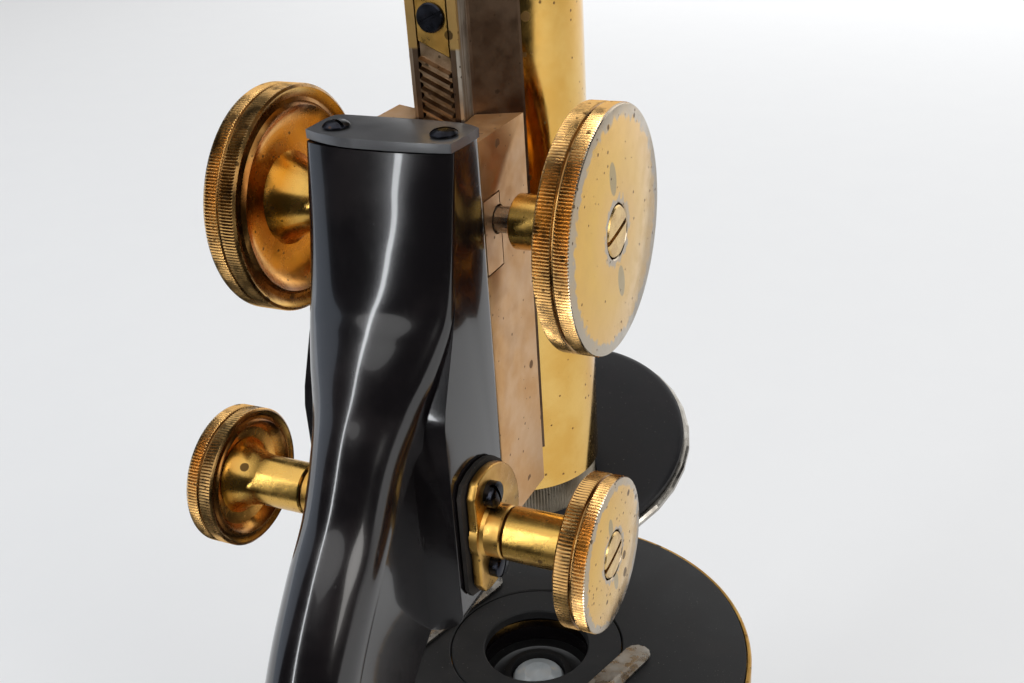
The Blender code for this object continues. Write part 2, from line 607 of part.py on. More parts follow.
def build_carrier(carrier):
    """Rack bar with the body tube, its collar and the fixed half of the nosepiece."""
    y = COARSE_Y
    saddle_r = TUBE_R + GAP
    sweep = math.degrees(math.asin(11.6 / saddle_r))
    half = [(0.0, y + 6.9), (3.3, y + 6.9), (3.3, y + 5.0), (5.05, y + 5.0), (4.5, y + 9.7),
            (4.9, y + 10.3), (11.3, y + 16.8)]
    half += arc(0.0, OPTIC_Y, saddle_r, -90.0 + sweep, -90.0, 7)
    half = [(round(a, 6) if abs(a) > 1e-6 else 0.0, b) for a, b in half]
    bar = add_object("dovetail_bar", plate_mesh("dovetail_bar", mirrored(half), BAR_BOTTOM, BAR_TOP),
                     BRASS, parent=carrier)
    shade(bar)
    add_object("rack", sheared(plate_mesh("rack", rack_outline(RACK_BOTTOM + 1.5, RACK_TOP), -RACK_HALF,
                                          RACK_HALF, "X")), STEEL, parent=carrier)
    strip = [(y + 5.0, RACK_TOP + GAP), (y + 6.6, RACK_TOP + GAP), (y + 6.6, 289.0),
             (y + 5.0, 289.0)]
    add_object("rack_keeper", sheared(plate_mesh("rack_keeper", strip, -RACK_HALF, RACK_HALF, "X")),
               BRASS, parent=carrier)
    slotted_screw("rack_screw", 2.65, 0.5, 0.6, (0.0, y + 4.7, 273.4), (math.pi / 2, 0.0, 0.0),
                  carrier)

    at = (0.0, OPTIC_Y, 0.0)
    turned("body_tube", [(TUBE_BORE, TUBE_TOP), (TUBE_R, TUBE_TOP), (TUBE_R, TUBE_BOTTOM),
                         (TUBE_BORE, TUBE_BOTTOM)], BRIGHT, at, carrier, steps=32)
    low = TUBE_TOP + GAP
    turned("tube_collar", [(DRAW_R + GAP, low + 8.0), (16.8, low + 8.0), (18.0, low + 7.0),
                           (18.0, low + 1.2), (17.2, low), (DRAW_R + GAP, low)], BRASS, at, carrier,
           steps=28)
    top = TUBE_BOTTOM - GAP
    turned("nosepiece_ring", [(12.0, top), (16.0, top), (16.4, top - 0.6), (16.4, top - 6.6),
                              (15.6, top - 7.4), (12.0, top - 7.4)], NICKEL, at, carrier, steps=28)
    build_shell(carrier, top - 7.4 - GAP)


def build_shell(carrier, seat_z):
    """Fixed black shell: a shallow tilted dome with a socket under the body tube."""
    turn = (NOSE_TILT, 0.0, 0.0)
    dome = [(0.0, 4.6), (12.0, 4.3), (22.0, 3.1), (28.5, 1.6), (NOSE_R, 0.3), (NOSE_R, SHELL_FOOT),
            (0.0, SHELL_FOOT)]
    shell = turned("nosepiece_shell", dome, MATTE, (0.0, NOSE_Y, NOSE_Z), carrier, turn, 36,
                   closed=False)
    socket = add_object("shell_socket", cylinder_mesh("shell_socket", 14.6, 30.0, "Z", 28,
                                                      (0, OPTIC_Y, seat_z - 15.0)), parent=carrier,
                        cutter=True)
    under = add_object("shell_under", box_mesh("shell_under", (-60, -60, -60), (60, 60, SHELL_FOOT)),
                       at=(0.0, NOSE_Y, NOSE_Z), parent=carrier, turn=turn, cutter=True)
    light = add_object("shell_light", cylinder_mesh("shell_light", 8.0, 60.0, "Z", 20,
                                                    (0, OPTIC_Y, seat_z)), parent=carrier,
                       cutter=True)
    seat = add_object("shell_seat", cylinder_mesh("shell_seat", 16.8, 30.0, "Z", 28,
                                                  (0, OPTIC_Y, seat_z + 15.0)), parent=carrier,
                      cutter=True)
    boolean(shell, socket, "UNION")
    boolean(shell, under)
    boolean(shell, seat)
    boolean(shell, light)


def build_turret(turret):
    """Turning half of the nosepiece with its sockets, and the objectives fitted in two of them."""
    turn = (NOSE_TILT, 0.0, 0.0)
    at = (0.0, NOSE_Y, NOSE_Z)
    top = SHELL_FOOT - GAP
    radius = (NOSE_Y - OPTIC_Y) / math.cos(NOSE_TILT)
    plate = turned("nosepiece_turret", [(0.0, top), (NOSE_R + 0.8, top), (NOSE_R + 1.3, top - 0.6),
                                        (NOSE_R + 1.3, top - 1.6), (NOSE_R - 2.6, top - 2.8),
                                        (7.0, top - 3.4), (6.0, top - 6.0), (0.0, top - 6.0)], NICKEL,
                   at, turret, turn, 32, closed=False)
    inverse = Matrix.Translation(-turret.location)

    def stand_at(obj, angle):
        """Put a piece drawn upright about its own Z at a socket of the turret."""
        place = (Matrix.Translation(Vector(at) * MM) @ Matrix.Rotation(NOSE_TILT, 4, "X")
                 @ Matrix.Rotation(math.radians(angle), 4, "Z")
                 @ Matrix.Translation(Vector((0.0, -radius, 0.0)) * MM)
                 @ Matrix.Rotation(-NOSE_TILT, 4, "X"))
        obj.matrix_local = inverse @ place
        return obj

    for angle, wide, deep in SOCKETS:
        label = "_%d" % angle
        socket = stand_at(add_object("socket" + label, cylinder_mesh(
            "socket", wide, deep - 1.6, "Z", 28, (0, 0, -0.5 * (deep + 1.6))),
            parent=turret, cutter=True), angle)
        hole = stand_at(add_object("light" + label, cylinder_mesh("light", 9.0, 40.0, "Z", 24),
                                   parent=turret, cutter=True), angle)
        boolean(plate, socket, "UNION")
        boolean(plate, hole)
    low = -OBJECTIVE_SEAT - GAP
    for name, angle, length, tip in OBJECTIVES:
        barrel = [(0.0, low), (11.2, low), (11.2, low - 4.4), (10.2, low - 5.2),
                  (10.2, low - 0.55 * length), (tip + 2.4, low - 0.66 * length),
                  (tip + 1.6, low - 0.9 * length), (tip - 1.4, low - length), (0.0, low - length)]
        stand_at(turned(name, barrel, BRASS, at, turret, None, 24, closed=False), angle)
    clear = add_object("turret_clear", box_mesh("turret_clear", (-60, -60, top), (60, 60, 60)),
                       at=at, parent=turret, turn=turn, cutter=True)
    boolean(plate, clear)


def build_draw(draw, eyepiece):
    """Graduated draw tube and the eyepiece that drops into it."""
    at = (0.0, OPTIC_Y, 0.0)
    turned("draw_tube", [(DRAW_BORE, DRAW_TOP), (15.6, DRAW_TOP), (16.0, DRAW_TOP - 0.6),
                         (16.0, DRAW_TOP - 3.4), (DRAW_R, DRAW_TOP - 3.8), (DRAW_R, DRAW_BOTTOM),
                         (DRAW_BORE, DRAW_BOTTOM)], NICKEL, at, draw, steps=28)
    low = DRAW_TOP + GAP
    turned("eyepiece_body", [(4.2, low + 8.6), (8.0, low + 9.6), (13.4, low + 9.2),
                             (14.6, low + 7.8), (14.6, low + 1.0), (13.8, low), (11.6, low),
                             (11.6, low - 34.0), (10.2, low - 34.0), (10.2, low + 4.0),
                             (4.2, low + 5.4)], LACQUER, at, eyepiece, steps=24)
    turned("eyepiece_lens", [(0.0, low + 3.0), (5.4, low + 2.6), (9.6, low + 1.6), (9.9, low + 1.2),
                             (9.9, low - 0.4), (0.0, low - 0.4)], GLASS, at, eyepiece, steps=32,
           closed=False)


# --------------------------------------------------------------------------------- stage and substage

def build_stage(limb, stage, clips):
    """Fixed bracket, rotating brass ring, ebonite top with its insert, and two spring clips."""
    low, at = STAGE_Z - 11.3, (0.0, OPTIC_Y, 0.0)
    bracket = turned("stage_bracket", [(46.0, low + 5.2), (47.0, low + 4.4), (47.0, low + 1.6),
                                       (44.0, low), (24.0, low), (24.0, low + 5.2)], LACQUER, at,
                     limb, steps=32)
    arm_side = [(-22.9, low - 7.0), (-22.9, low + 5.2), (12.0, low + 5.2), (12.0, low),
                (-10.0, low - 5.0), (-16.0, low - 7.0)]
    arm = add_object("bracket_arm", plate_mesh("bracket_arm", arm_side, -11.0, 11.0, "X"),
                     parent=limb, cutter=True)
    boolean(bracket, arm, "UNION")
    hole = add_object("bracket_hole", cylinder_mesh("bracket_hole", 24.0, 40.0, "Z", 48,
                                                    (0, OPTIC_Y, low)), parent=limb, cutter=True)
    boolean(bracket, hole)

    base = STAGE_Z - 5.8
    turned("stage_rim", [(52.2, STAGE_Z - 0.5), (RIM_R - 0.3, STAGE_Z - 0.5), (RIM_R, STAGE_Z - 0.8),
                         (RIM_R, base + 0.5), (RIM_R - 0.5, base), (17.0, base), (17.0, base + 2.9),
                         (52.2, base + 2.9)], BRASS, at, stage, steps=40)
    turned("stage_plate", [(INSERT_R + GAP, STAGE_Z), (STAGE_R - 0.3, STAGE_Z),
                           (STAGE_R, STAGE_Z - 0.3), (STAGE_R, base + 3.2),
                           (INSERT_R + GAP, base + 3.2)], MATTE, at, stage, steps=40)
    turned("stage_insert", [(STAGE_HOLE_R, STAGE_Z - 0.1), (INSERT_R, STAGE_Z - 0.1),
                            (INSERT_R, base + 3.2), (STAGE_HOLE_R, base + 3.2)], MATTE, at, stage,
           steps=32)
    turn = math.radians(STAGE_TURN)
    for (side_name, sign), clip in zip((("left", -1), ("right", 1)), clips):
        blade = arc(0.0, 0.0, 3.6, 180.0, 360.0, 6) + arc(0.0, 39.2, 3.2, 0.0, 180.0, 6)
        obj = add_object("stage_clip_" + side_name, plate_mesh("stage_clip", blade, 0.4, 1.0), NICKEL,
                         parent=clip)
        obj.location = (0.0, 0.0, 0.0)
        obj.rotation_euler = (0.0, 0.0, turn)
        post = turned("clip_post_" + side_name, [(0.0, 7.2), (2.6, 7.2), (3.2, 6.6), (3.2, 4.2),
                                                 (1.9, 3.6), (1.9, 1.4), (2.8, 1.0), (2.8, GAP),
                                                 (0.0, GAP)], None, (0, 0, 0), steps=20,
                      closed=False, cutter=True)
        post.parent = clip
        boolean(obj, post, "UNION")


def build_substage(limb, condenser, iris, pinion):
    """Tailpiece, condenser on its carrier, iris lever and the substage pinion."""
    low = STAGE_Z - 11.3
    tail = add_object("tailpiece", box_mesh("tailpiece", (-8.0, -15.0, 36.0), (8.0, -8.0, low - 7.0
                                            - GAP)), LACQUER, parent=limb)
    bevel(tail, 0.6, 1)
    bore = add_object("substage_bore", cylinder_mesh("substage_bore", 2.4, 30.0, "X", 20,
                                                     (0, -11.0, 90.0)), parent=limb, cutter=True)
    boolean(tail, bore)

    top = STAGE_Z - 8.3
    ring_top = low - 6.3
    at = (0.0, OPTIC_Y, 0.0)
    carrier = turned("condenser_carrier", [(CONDENSER_R + GAP, ring_top), (21.6, ring_top),
                                           (21.6, ring_top - 8.0), (CONDENSER_R + GAP, ring_top - 8.0)],
                     BRASS, at, condenser, steps=28)
    arm = add_object("carrier_arm", box_mesh("carrier_arm", (-7.0, -2.0, ring_top - 7.8),
                                             (7.0, 12.0, ring_top - 2.2)), parent=condenser,
                     cutter=True)
    back = add_object("carrier_back", box_mesh("carrier_back", (-8.0, -7.7, ring_top - 17.0),
                                               (8.0, -1.0, ring_top - 3.0)), parent=condenser, cutter=True)
    boolean(carrier, arm, "UNION")
    boolean(carrier, back, "UNION")
    turned("condenser_body", [
        (6.9, top - 0.4), (8.4, top - 0.4), (CONDENSER_TOP_R, top - 3.0),
        (CONDENSER_TOP_R, ring_top + 3.2), (CONDENSER_R + 2.4, ring_top + 3.2),
        (CONDENSER_R + 2.4, ring_top + GAP), (CONDENSER_R, ring_top + GAP),
        (CONDENSER_R, ring_top - 9.6), (17.2, ring_top - 10.4), (17.2, ring_top - 13.2),
        (19.4, ring_top - 14.0), (19.4, ring_top - 16.4), (6.9, ring_top - 16.4)], NICKEL, at,
        condenser, steps=28)
    turned("condenser_lens", [(0.0, top), (3.4, top - 0.5), (6.0, top - 1.6), (6.5, top - 2.2),
                              (6.5, top - 6.0), (0.0, top - 6.0)], GLASS, at, condenser, steps=32,
           closed=False)
    ring_low, ring_high = ring_top - 12.9, ring_top - 10.8
    lever = turned("iris_lever", [(17.5, ring_high), (19.4, ring_high), (19.4, ring_low),
                                  (17.5, ring_low)], BRASS, at, iris, steps=24)
    handle = add_object("iris_handle", cylinder_mesh("iris_handle", 0.9, 12.0, "X", 14,
                                                     (24.6, 0.0, 0.5 * (ring_low + ring_high))),
                        at=at, parent=iris, turn=(0.0, 0.0, math.radians(35.0)), cutter=True)
    boolean(lever, handle, "UNION")

    turned("substage_knob", [(0.0, -29.0), (8.2, -29.0), (9.0, -28.2), (9.0, -23.2), (8.2, -22.4),
                             (4.0, -22.0), (3.4, -9.0), (2.1, -8.6), (2.1, 7.0), (0.0, 7.0)][::-1],
           BRASS, (0.0, -11.0, 90.0), pinion, (0.0, math.pi / 2, 0.0), 28, closed=False)


def build_mirror(fork, mirror):
    """Half-ring fork on the tailpiece and the mirror between its ends."""
    pad = 3.0
    outer = arc(0.0, OPTIC_Y, FORK_R + pad, 180.0, 360.0, 22)
    inner = arc(0.0, OPTIC_Y, FORK_R, 360.0, 180.0, 22)
    ring = add_object("mirror_fork", plate_mesh("mirror_fork", outer + inner, MIRROR_Z - 2.5,
                                                MIRROR_Z + 2.5), BRASS, parent=fork)
    stem = add_object("fork_stem", cylinder_mesh("fork_stem", 3.4, 10.6, "Y", 20,
                                                 (0, -2.4, MIRROR_Z)), parent=fork, cutter=True)
    boolean(ring, stem, "UNION")
    glass = turned("mirror", [(0.0, 2.6), (MIRROR_R - 1.0, 2.6), (MIRROR_R, 1.8), (MIRROR_R, -1.8),
                              (MIRROR_R - 1.0, -2.6), (0.0, -2.6)], MIRROR, (0.0, OPTIC_Y, MIRROR_Z),
                   mirror, (math.radians(-38.0), 0.0, 0.0), 32, closed=False)
    pins = add_object("mirror_pins", cylinder_mesh("mirror_pins", 1.2, 2 * FORK_R - 0.6, "X", 12),
                      at=(0.0, OPTIC_Y, MIRROR_Z), parent=mirror, cutter=True)
    boolean(glass, pins, "UNION")


def build_lever(lever):
    """Clamp lever on the right-hand end of the inclination axle."""
    y, z = INCLINE_Y, INCLINE_Z
    blade = arc(0.0, 0.0, 7.6, 60.0, 300.0, 14) + arc(34.0, 0.0, 4.0, -90.0, 90.0, 8)
    angle = math.radians(-118.0)
    outline = [(y + a * math.cos(angle) - b * math.sin(angle), z + a * math.sin(angle)
                + b * math.cos(angle)) for a, b in blade]
    obj = add_object("clamp_lever", plate_mesh("clamp_lever", outline, PILLAR_HALF + 0.4,
                                               PILLAR_HALF + 4.6, "X"), BRASS, parent=lever)
    bevel(obj, 0.8, 2)
    bore = add_object("lever_bore", cylinder_mesh("lever_bore", AXLE_R + GAP, 20, "X", 24,
                                                  (PILLAR_HALF + 2.5, y, z)), parent=lever,
                      cutter=True)
    boolean(obj, bore)


def main():
    """Build every piece of the stand under the empties that carry the joints."""
    build_base()
    limb = frame("limb_axis", 0.0, INCLINE_Y, INCLINE_Z)
    lever = frame("lever_axis", 0.0, INCLINE_Y, INCLINE_Z)
    fine = frame("fine_axis", 0.0, FINE_Y, FINE_Z)
    block = frame("block_slide", 0.0, 0.0, BLOCK_BOTTOM)
    coarse = frame("coarse_axis", 0.0, COARSE_Y, COARSE_Z)
    carrier = frame("tube_slide", 0.0, OPTIC_Y, TUBE_BOTTOM)
    turret = frame("turret_axis", 0.0, NOSE_Y, NOSE_Z)
    draw = frame("draw_slide", 0.0, OPTIC_Y, TUBE_TOP)
    eyepiece = frame("eyepiece_slide", 0.0, OPTIC_Y, DRAW_TOP)
    stage = frame("stage_axis", 0.0, OPTIC_Y, STAGE_Z)
    turn = Matrix.Rotation(math.radians(STAGE_TURN), 3, "Z")
    pivots = [turn @ Vector((x, -28.0, 0.0)) + Vector((0.0, OPTIC_Y, STAGE_Z)) for x in CLIP_X]
    clips = [frame("clip_axis_left", *pivots[0]), frame("clip_axis_right", *pivots[1])]
    condenser = frame("condenser_slide", 0.0, OPTIC_Y, STAGE_Z)
    iris = frame("iris_axis", 0.0, OPTIC_Y, STAGE_Z)
    pinion = frame("substage_axis", 0.0, -11.0, 90.0)
    fork = frame("fork_axis", 0.0, OPTIC_Y, MIRROR_Z)
    mirror = frame("mirror_axis", 0.0, OPTIC_Y, MIRROR_Z)

    build_limb(limb)
    build_lever(lever)
    build_fine(fine)
    build_block(block)
    build_coarse(coarse)
    build_carrier(carrier)
    build_turret(turret)
    build_draw(draw, eyepiece)
    build_stage(limb, stage, clips)
    build_substage(limb, condenser, iris, pinion)
    build_mirror(fork, mirror)
    bpy.context.view_layer.update()


main()
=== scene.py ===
"""Looks of a brass and black-lacquer compound microscope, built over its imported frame.

Shapes are drawn in millimetres in the frame's own axes (X to the right-hand knobs, Y from the limb to
the tube, Z up) and brought to metres when a piece is finished, so that each object stays at the origin.
"""

import logging
import math
from dataclasses import dataclass
from enum import Enum
from typing import Callable, Sequence

import bmesh
import bpy
from mathutils import Matrix, Vector


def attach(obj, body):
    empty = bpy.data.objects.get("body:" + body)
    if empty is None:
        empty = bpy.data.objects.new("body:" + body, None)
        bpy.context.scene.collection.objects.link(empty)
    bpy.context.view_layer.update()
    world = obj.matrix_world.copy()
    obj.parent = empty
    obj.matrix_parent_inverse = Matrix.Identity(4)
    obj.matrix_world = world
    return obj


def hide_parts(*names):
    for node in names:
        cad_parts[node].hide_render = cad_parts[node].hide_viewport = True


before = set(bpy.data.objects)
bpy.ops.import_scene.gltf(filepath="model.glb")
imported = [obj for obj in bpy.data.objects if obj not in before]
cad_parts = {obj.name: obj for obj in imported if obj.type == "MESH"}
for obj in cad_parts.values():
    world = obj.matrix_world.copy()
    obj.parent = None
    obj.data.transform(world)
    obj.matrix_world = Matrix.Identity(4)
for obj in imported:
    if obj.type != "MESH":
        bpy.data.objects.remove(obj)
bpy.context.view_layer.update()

logging.basicConfig(level=logging.INFO, format="%(name)s: %(message)s")
LOG = logging.getLogger("microscope")

MM = 0.001
GAP = 0.3
OPTIC_Y = 31.3
UPRIGHT = (0.0, OPTIC_Y, 0.0)
Colour = tuple[float, float, float]
Point = tuple[float, float, float]
Profile = Sequence[tuple[float, float]]
Shape = bmesh.types.BMesh
Material = bpy.types.Material
Socket = bpy.types.NodeSocket


class Side(Enum):
    """Left or right half of the stand, as the sign of X."""

    LEFT = -1
    RIGHT = 1

    @property
    def label(self) -> str:
        """Name used in node names."""
        return self.name.lower()


class Axis(Enum):
    """Direction that a profile or outline is drawn along."""

    X = "X"
    Y = "Y"
    Z = "Z"


class Join(Enum):
    """How two solids are put together."""

    ADD = "UNION"
    CUT = "DIFFERENCE"
    KEEP_COMMON = "INTERSECT"


# ------------------------------------------------------------------------------------ drawing tools

def arc(cx: float, cy: float, radius: float, start: float, end: float, count: int) -> list:
    """Return points along an arc.

    Args:
        cx: First coordinate of the centre.
        cy: Second coordinate of the centre.
        radius: Radius in millimetres.
        start: First angle in degrees.
        end: Last angle in degrees.
        count: Number of steps.

    Returns:
        The points from start to end, both included.
    """
    turn = [math.radians(start + (end - start) * i / count) for i in range(count + 1)]
    return [(cx + radius * math.cos(a), cy + radius * math.sin(a)) for a in turn]


def mirrored(points: Sequence) -> list:
    """Return an outline closed by its mirror image in the first coordinate."""
    return list(points) + [(-a, b) for a, b in reversed(points) if abs(a) > 1e-9]


def flowing(points: Sequence, count: int) -> list:
    """Return a smooth curve through stations.

    Args:
        points: Stations, each a tuple of any length.
        count: Number of equal steps along the curve.

    Returns:
        The stations of a Catmull-Rom curve.
    """
    first = tuple(2 * a - b for a, b in zip(points[0], points[1]))
    last = tuple(2 * a - b for a, b in zip(points[-1], points[-2]))
    ring = [first, *points, last]
    result = []
    for i in range(count + 1):
        t = i / count * (len(points) - 1)
        k = min(int(t), len(points) - 2)
        f = t - k
        result.append(tuple(0.5 * (2 * b + (c - a) * f + (2 * a - 5 * b + 4 * c - d) * f * f
                                   + (3 * b - a - 3 * c + d) * f ** 3)
                            for a, b, c, d in zip(*ring[k:k + 4])))
    return result


def turn_to(axis: Axis, sign: int = 1) -> Matrix:
    """Return the rotation that lays a shape drawn about Z along another axis.

    Args:
        axis: The axis that it is laid along.
        sign: Direction along that axis.

    Returns:
        The rotation.
    """
    if axis is Axis.X:
        return Matrix.Rotation(sign * math.pi / 2, 4, "Y")
    if axis is Axis.Y:
        return Matrix.Rotation(-sign * math.pi / 2, 4, "X")
    return Matrix.Identity(4)


@dataclass(frozen=True)
class Knurl:
    """A band of straight ridges cut in a turned edge.

    Attributes:
        low: Height where the band begins.
        high: Height where it ends.
        radius: Radius that the ridges reach.
        depth: Depth between two ridges.
    """

    low: float
    high: float
    radius: float
    depth: float

    def cut(self, bm: Shape, steps: int) -> None:
        """Press every second meridian of the band inwards.

        Args:
            bm: The turned solid, upright at the origin.
            steps: Number of its meridians.
        """
        for vert in bm.verts:
            reach = math.hypot(vert.co.x, vert.co.y)
            if not (self.low <= vert.co.z <= self.high and reach > self.radius - 0.05):
                continue
            k = round(math.atan2(vert.co.y, vert.co.x) / (2 * math.pi / steps))
            if k % 2:
                vert.co.x *= (reach - self.depth) / reach
                vert.co.y *= (reach - self.depth) / reach


def lathe(profile: Profile, at: Point = (0, 0, 0), axis: Axis = Axis.Z, sign: int = 1, steps: int = 128,
          closed: bool = True, knurls: Sequence[Knurl] = ()) -> Shape:
    """Spin a profile of (radius, height) points about an axis.

    Args:
        profile: The points of one side.
        at: A point on the axis, in millimetres.
        axis: Direction of the axis.
        sign: Direction of height along the axis.
        steps: Number of steps of the full turn.
        closed: Whether the last point joins the first; otherwise both ends lie on the axis.
        knurls: Bands of ridges.

    Returns:
        The solid.
    """
    bm = bmesh.new()
    verts = [bm.verts.new((r, 0.0, h)) for r, h in profile]
    pairs = list(zip(verts, verts[1:])) + ([(verts[-1], verts[0])] if closed else [])
    edges = [bm.edges.new(pair) for pair in pairs]
    bmesh.ops.spin(bm, geom=verts + edges, axis=(0, 0, 1), cent=(0, 0, 0), dvec=(0, 0, 0),
                   angle=2 * math.pi, steps=steps, use_merge=True, use_normal_flip=False,
                   use_duplicate=False)
    bmesh.ops.remove_doubles(bm, verts=bm.verts, dist=1e-4)
    for knurl in knurls:
        knurl.cut(bm, steps)
    bmesh.ops.recalc_face_normals(bm, faces=bm.faces)
    bmesh.ops.transform(bm, matrix=Matrix.Translation(Vector(at)) @ turn_to(axis, sign), verts=bm.verts)
    return bm


def rod(radius: float, low: float, high: float, at: Point = (0, 0, 0), axis: Axis = Axis.Z,
        steps: int = 96) -> Shape:
    """Return a plain round bar between two levels on an axis through a point."""
    return lathe([(0.0, low), (radius, low), (radius, high), (0.0, high)], at, axis, steps=steps,
                 closed=False)


def prism(outline: Sequence, low: float, high: float, axis: Axis = Axis.Z) -> Shape:
    """Extrude a flat outline between two levels.

    Args:
        outline: Points (x, y) for Z, (y, z) for X, or (x, z) for Y.
        low: First level.
        high: Second level.
        axis: Direction of the extrusion.

    Returns:
        The solid.
    """
    place: dict[Axis, Callable] = {Axis.X: lambda a, b, h: (h, a, b), Axis.Y: lambda a, b, h: (a, h, b),
                                   Axis.Z: lambda a, b, h: (a, b, h)}
    bm = bmesh.new()
    face = bm.faces.new([bm.verts.new(place[axis](a, b, low)) for a, b in outline])
    moved = bmesh.ops.extrude_face_region(bm, geom=[face])["geom"]
    bmesh.ops.translate(bm, vec=Vector(place[axis](0.0, 0.0, high - low)),
                        verts=[v for v in moved if isinstance(v, bmesh.types.BMVert)])
    bmesh.ops.recalc_face_normals(bm, faces=bm.faces)
    return bm


def block(low: Point, high: Point) -> Shape:
    """Return a box between two corners."""
    bm = bmesh.new()
    bmesh.ops.create_cube(bm, size=1.0)
    bmesh.ops.scale(bm, vec=[b - a for a, b in zip(low, high)], verts=bm.verts)
    bmesh.ops.translate(bm, vec=[(a + b) / 2 for a, b in zip(low, high)], verts=bm.verts)
    return bm


def rounded(bm: Shape, edges: list, width: float, segments: int) -> Shape:
    """Round some edges of a solid, and return it.

    Args:
        bm: The solid.
        edges: The edges to round.
        width: Width of the rounding in millimetres.
        segments: Number of facets across it.

    Returns:
        The same solid.
    """
    bmesh.ops.bevel(bm, geom=edges, offset=width, offset_type="OFFSET", affect="EDGES",
                    segments=segments, profile=0.5, material=-1, clamp_overlap=True)
    return bm


def soften(bm: Shape, width: float, segments: int = 3, above: float = 30.0) -> Shape:
    """Round the edges of a solid that are sharper than an angle, and return it.

    Args:
        bm: The solid.
        width: Width of the rounding in millimetres.
        segments: Number of facets across it.
        above: The angle in degrees.

    Returns:
        The same solid.
    """
    sharp = [e for e in bm.edges if len(e.link_faces) == 2
             and math.degrees(e.calc_face_angle(0.0)) > above]
    return rounded(bm, sharp, width, segments)


def placed(name: str, data: bpy.types.ID) -> bpy.types.Object:
    """Put a mesh, a lamp or a camera in the scene, and return its object."""
    obj = bpy.data.objects.new(name, data)
    bpy.context.scene.collection.objects.link(obj)
    return obj


def solid(bm: Shape, name: str = "on_the_bench") -> bpy.types.Object:
    """Put a bmesh in the scene as an object, and free it."""
    mesh = bpy.data.meshes.new(name)
    bm.to_mesh(mesh)
    bm.free()
    return placed(name, mesh)


def joined(base: Shape, tool: Shape, how: Join) -> Shape:
    """Join, cut or intersect two solids.

    Args:
        base: The solid that is worked on.
        tool: The second solid.
        how: What happens to them.

    Returns:
        The result; both arguments are used up.
    """
    first, second = solid(base), solid(tool, "tool")
    work = first.modifiers.new("join", "BOOLEAN")
    work.operation, work.object, work.solver = how.value, second, "EXACT"
    bpy.context.view_layer.update()
    mesh = bpy.data.meshes.new_from_object(first.evaluated_get(bpy.context.evaluated_depsgraph_get()))
    bm = bmesh.new()
    bm.from_mesh(mesh)
    for obj in (first, second):
        data = obj.data
        bpy.data.objects.remove(obj)
        bpy.data.meshes.remove(data)
    bpy.data.meshes.remove(mesh)
    return bm


def copied(node: str, width: float = 0.0, segments: int = 2) -> Shape:
    """Return a merged copy of a CAD node in millimetres, with its edges rounded if a width is given.

    Args:
        node: Name of the node.
        width: Width of the rounding, or zero.
        segments: Number of facets across it.

    Returns:
        The copy.
    """
    bm = bmesh.new()
    bm.from_mesh(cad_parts[node].data)
    bmesh.ops.scale(bm, vec=(1 / MM,) * 3, verts=bm.verts)
    bmesh.ops.remove_doubles(bm, verts=bm.verts, dist=1e-3)
    bmesh.ops.dissolve_limit(bm, angle_limit=math.radians(0.6), verts=bm.verts, edges=bm.edges)
    if width:
        soften(bm, width, segments)
    return bm


# ------------------------------------------------------------------------------------------ finishes

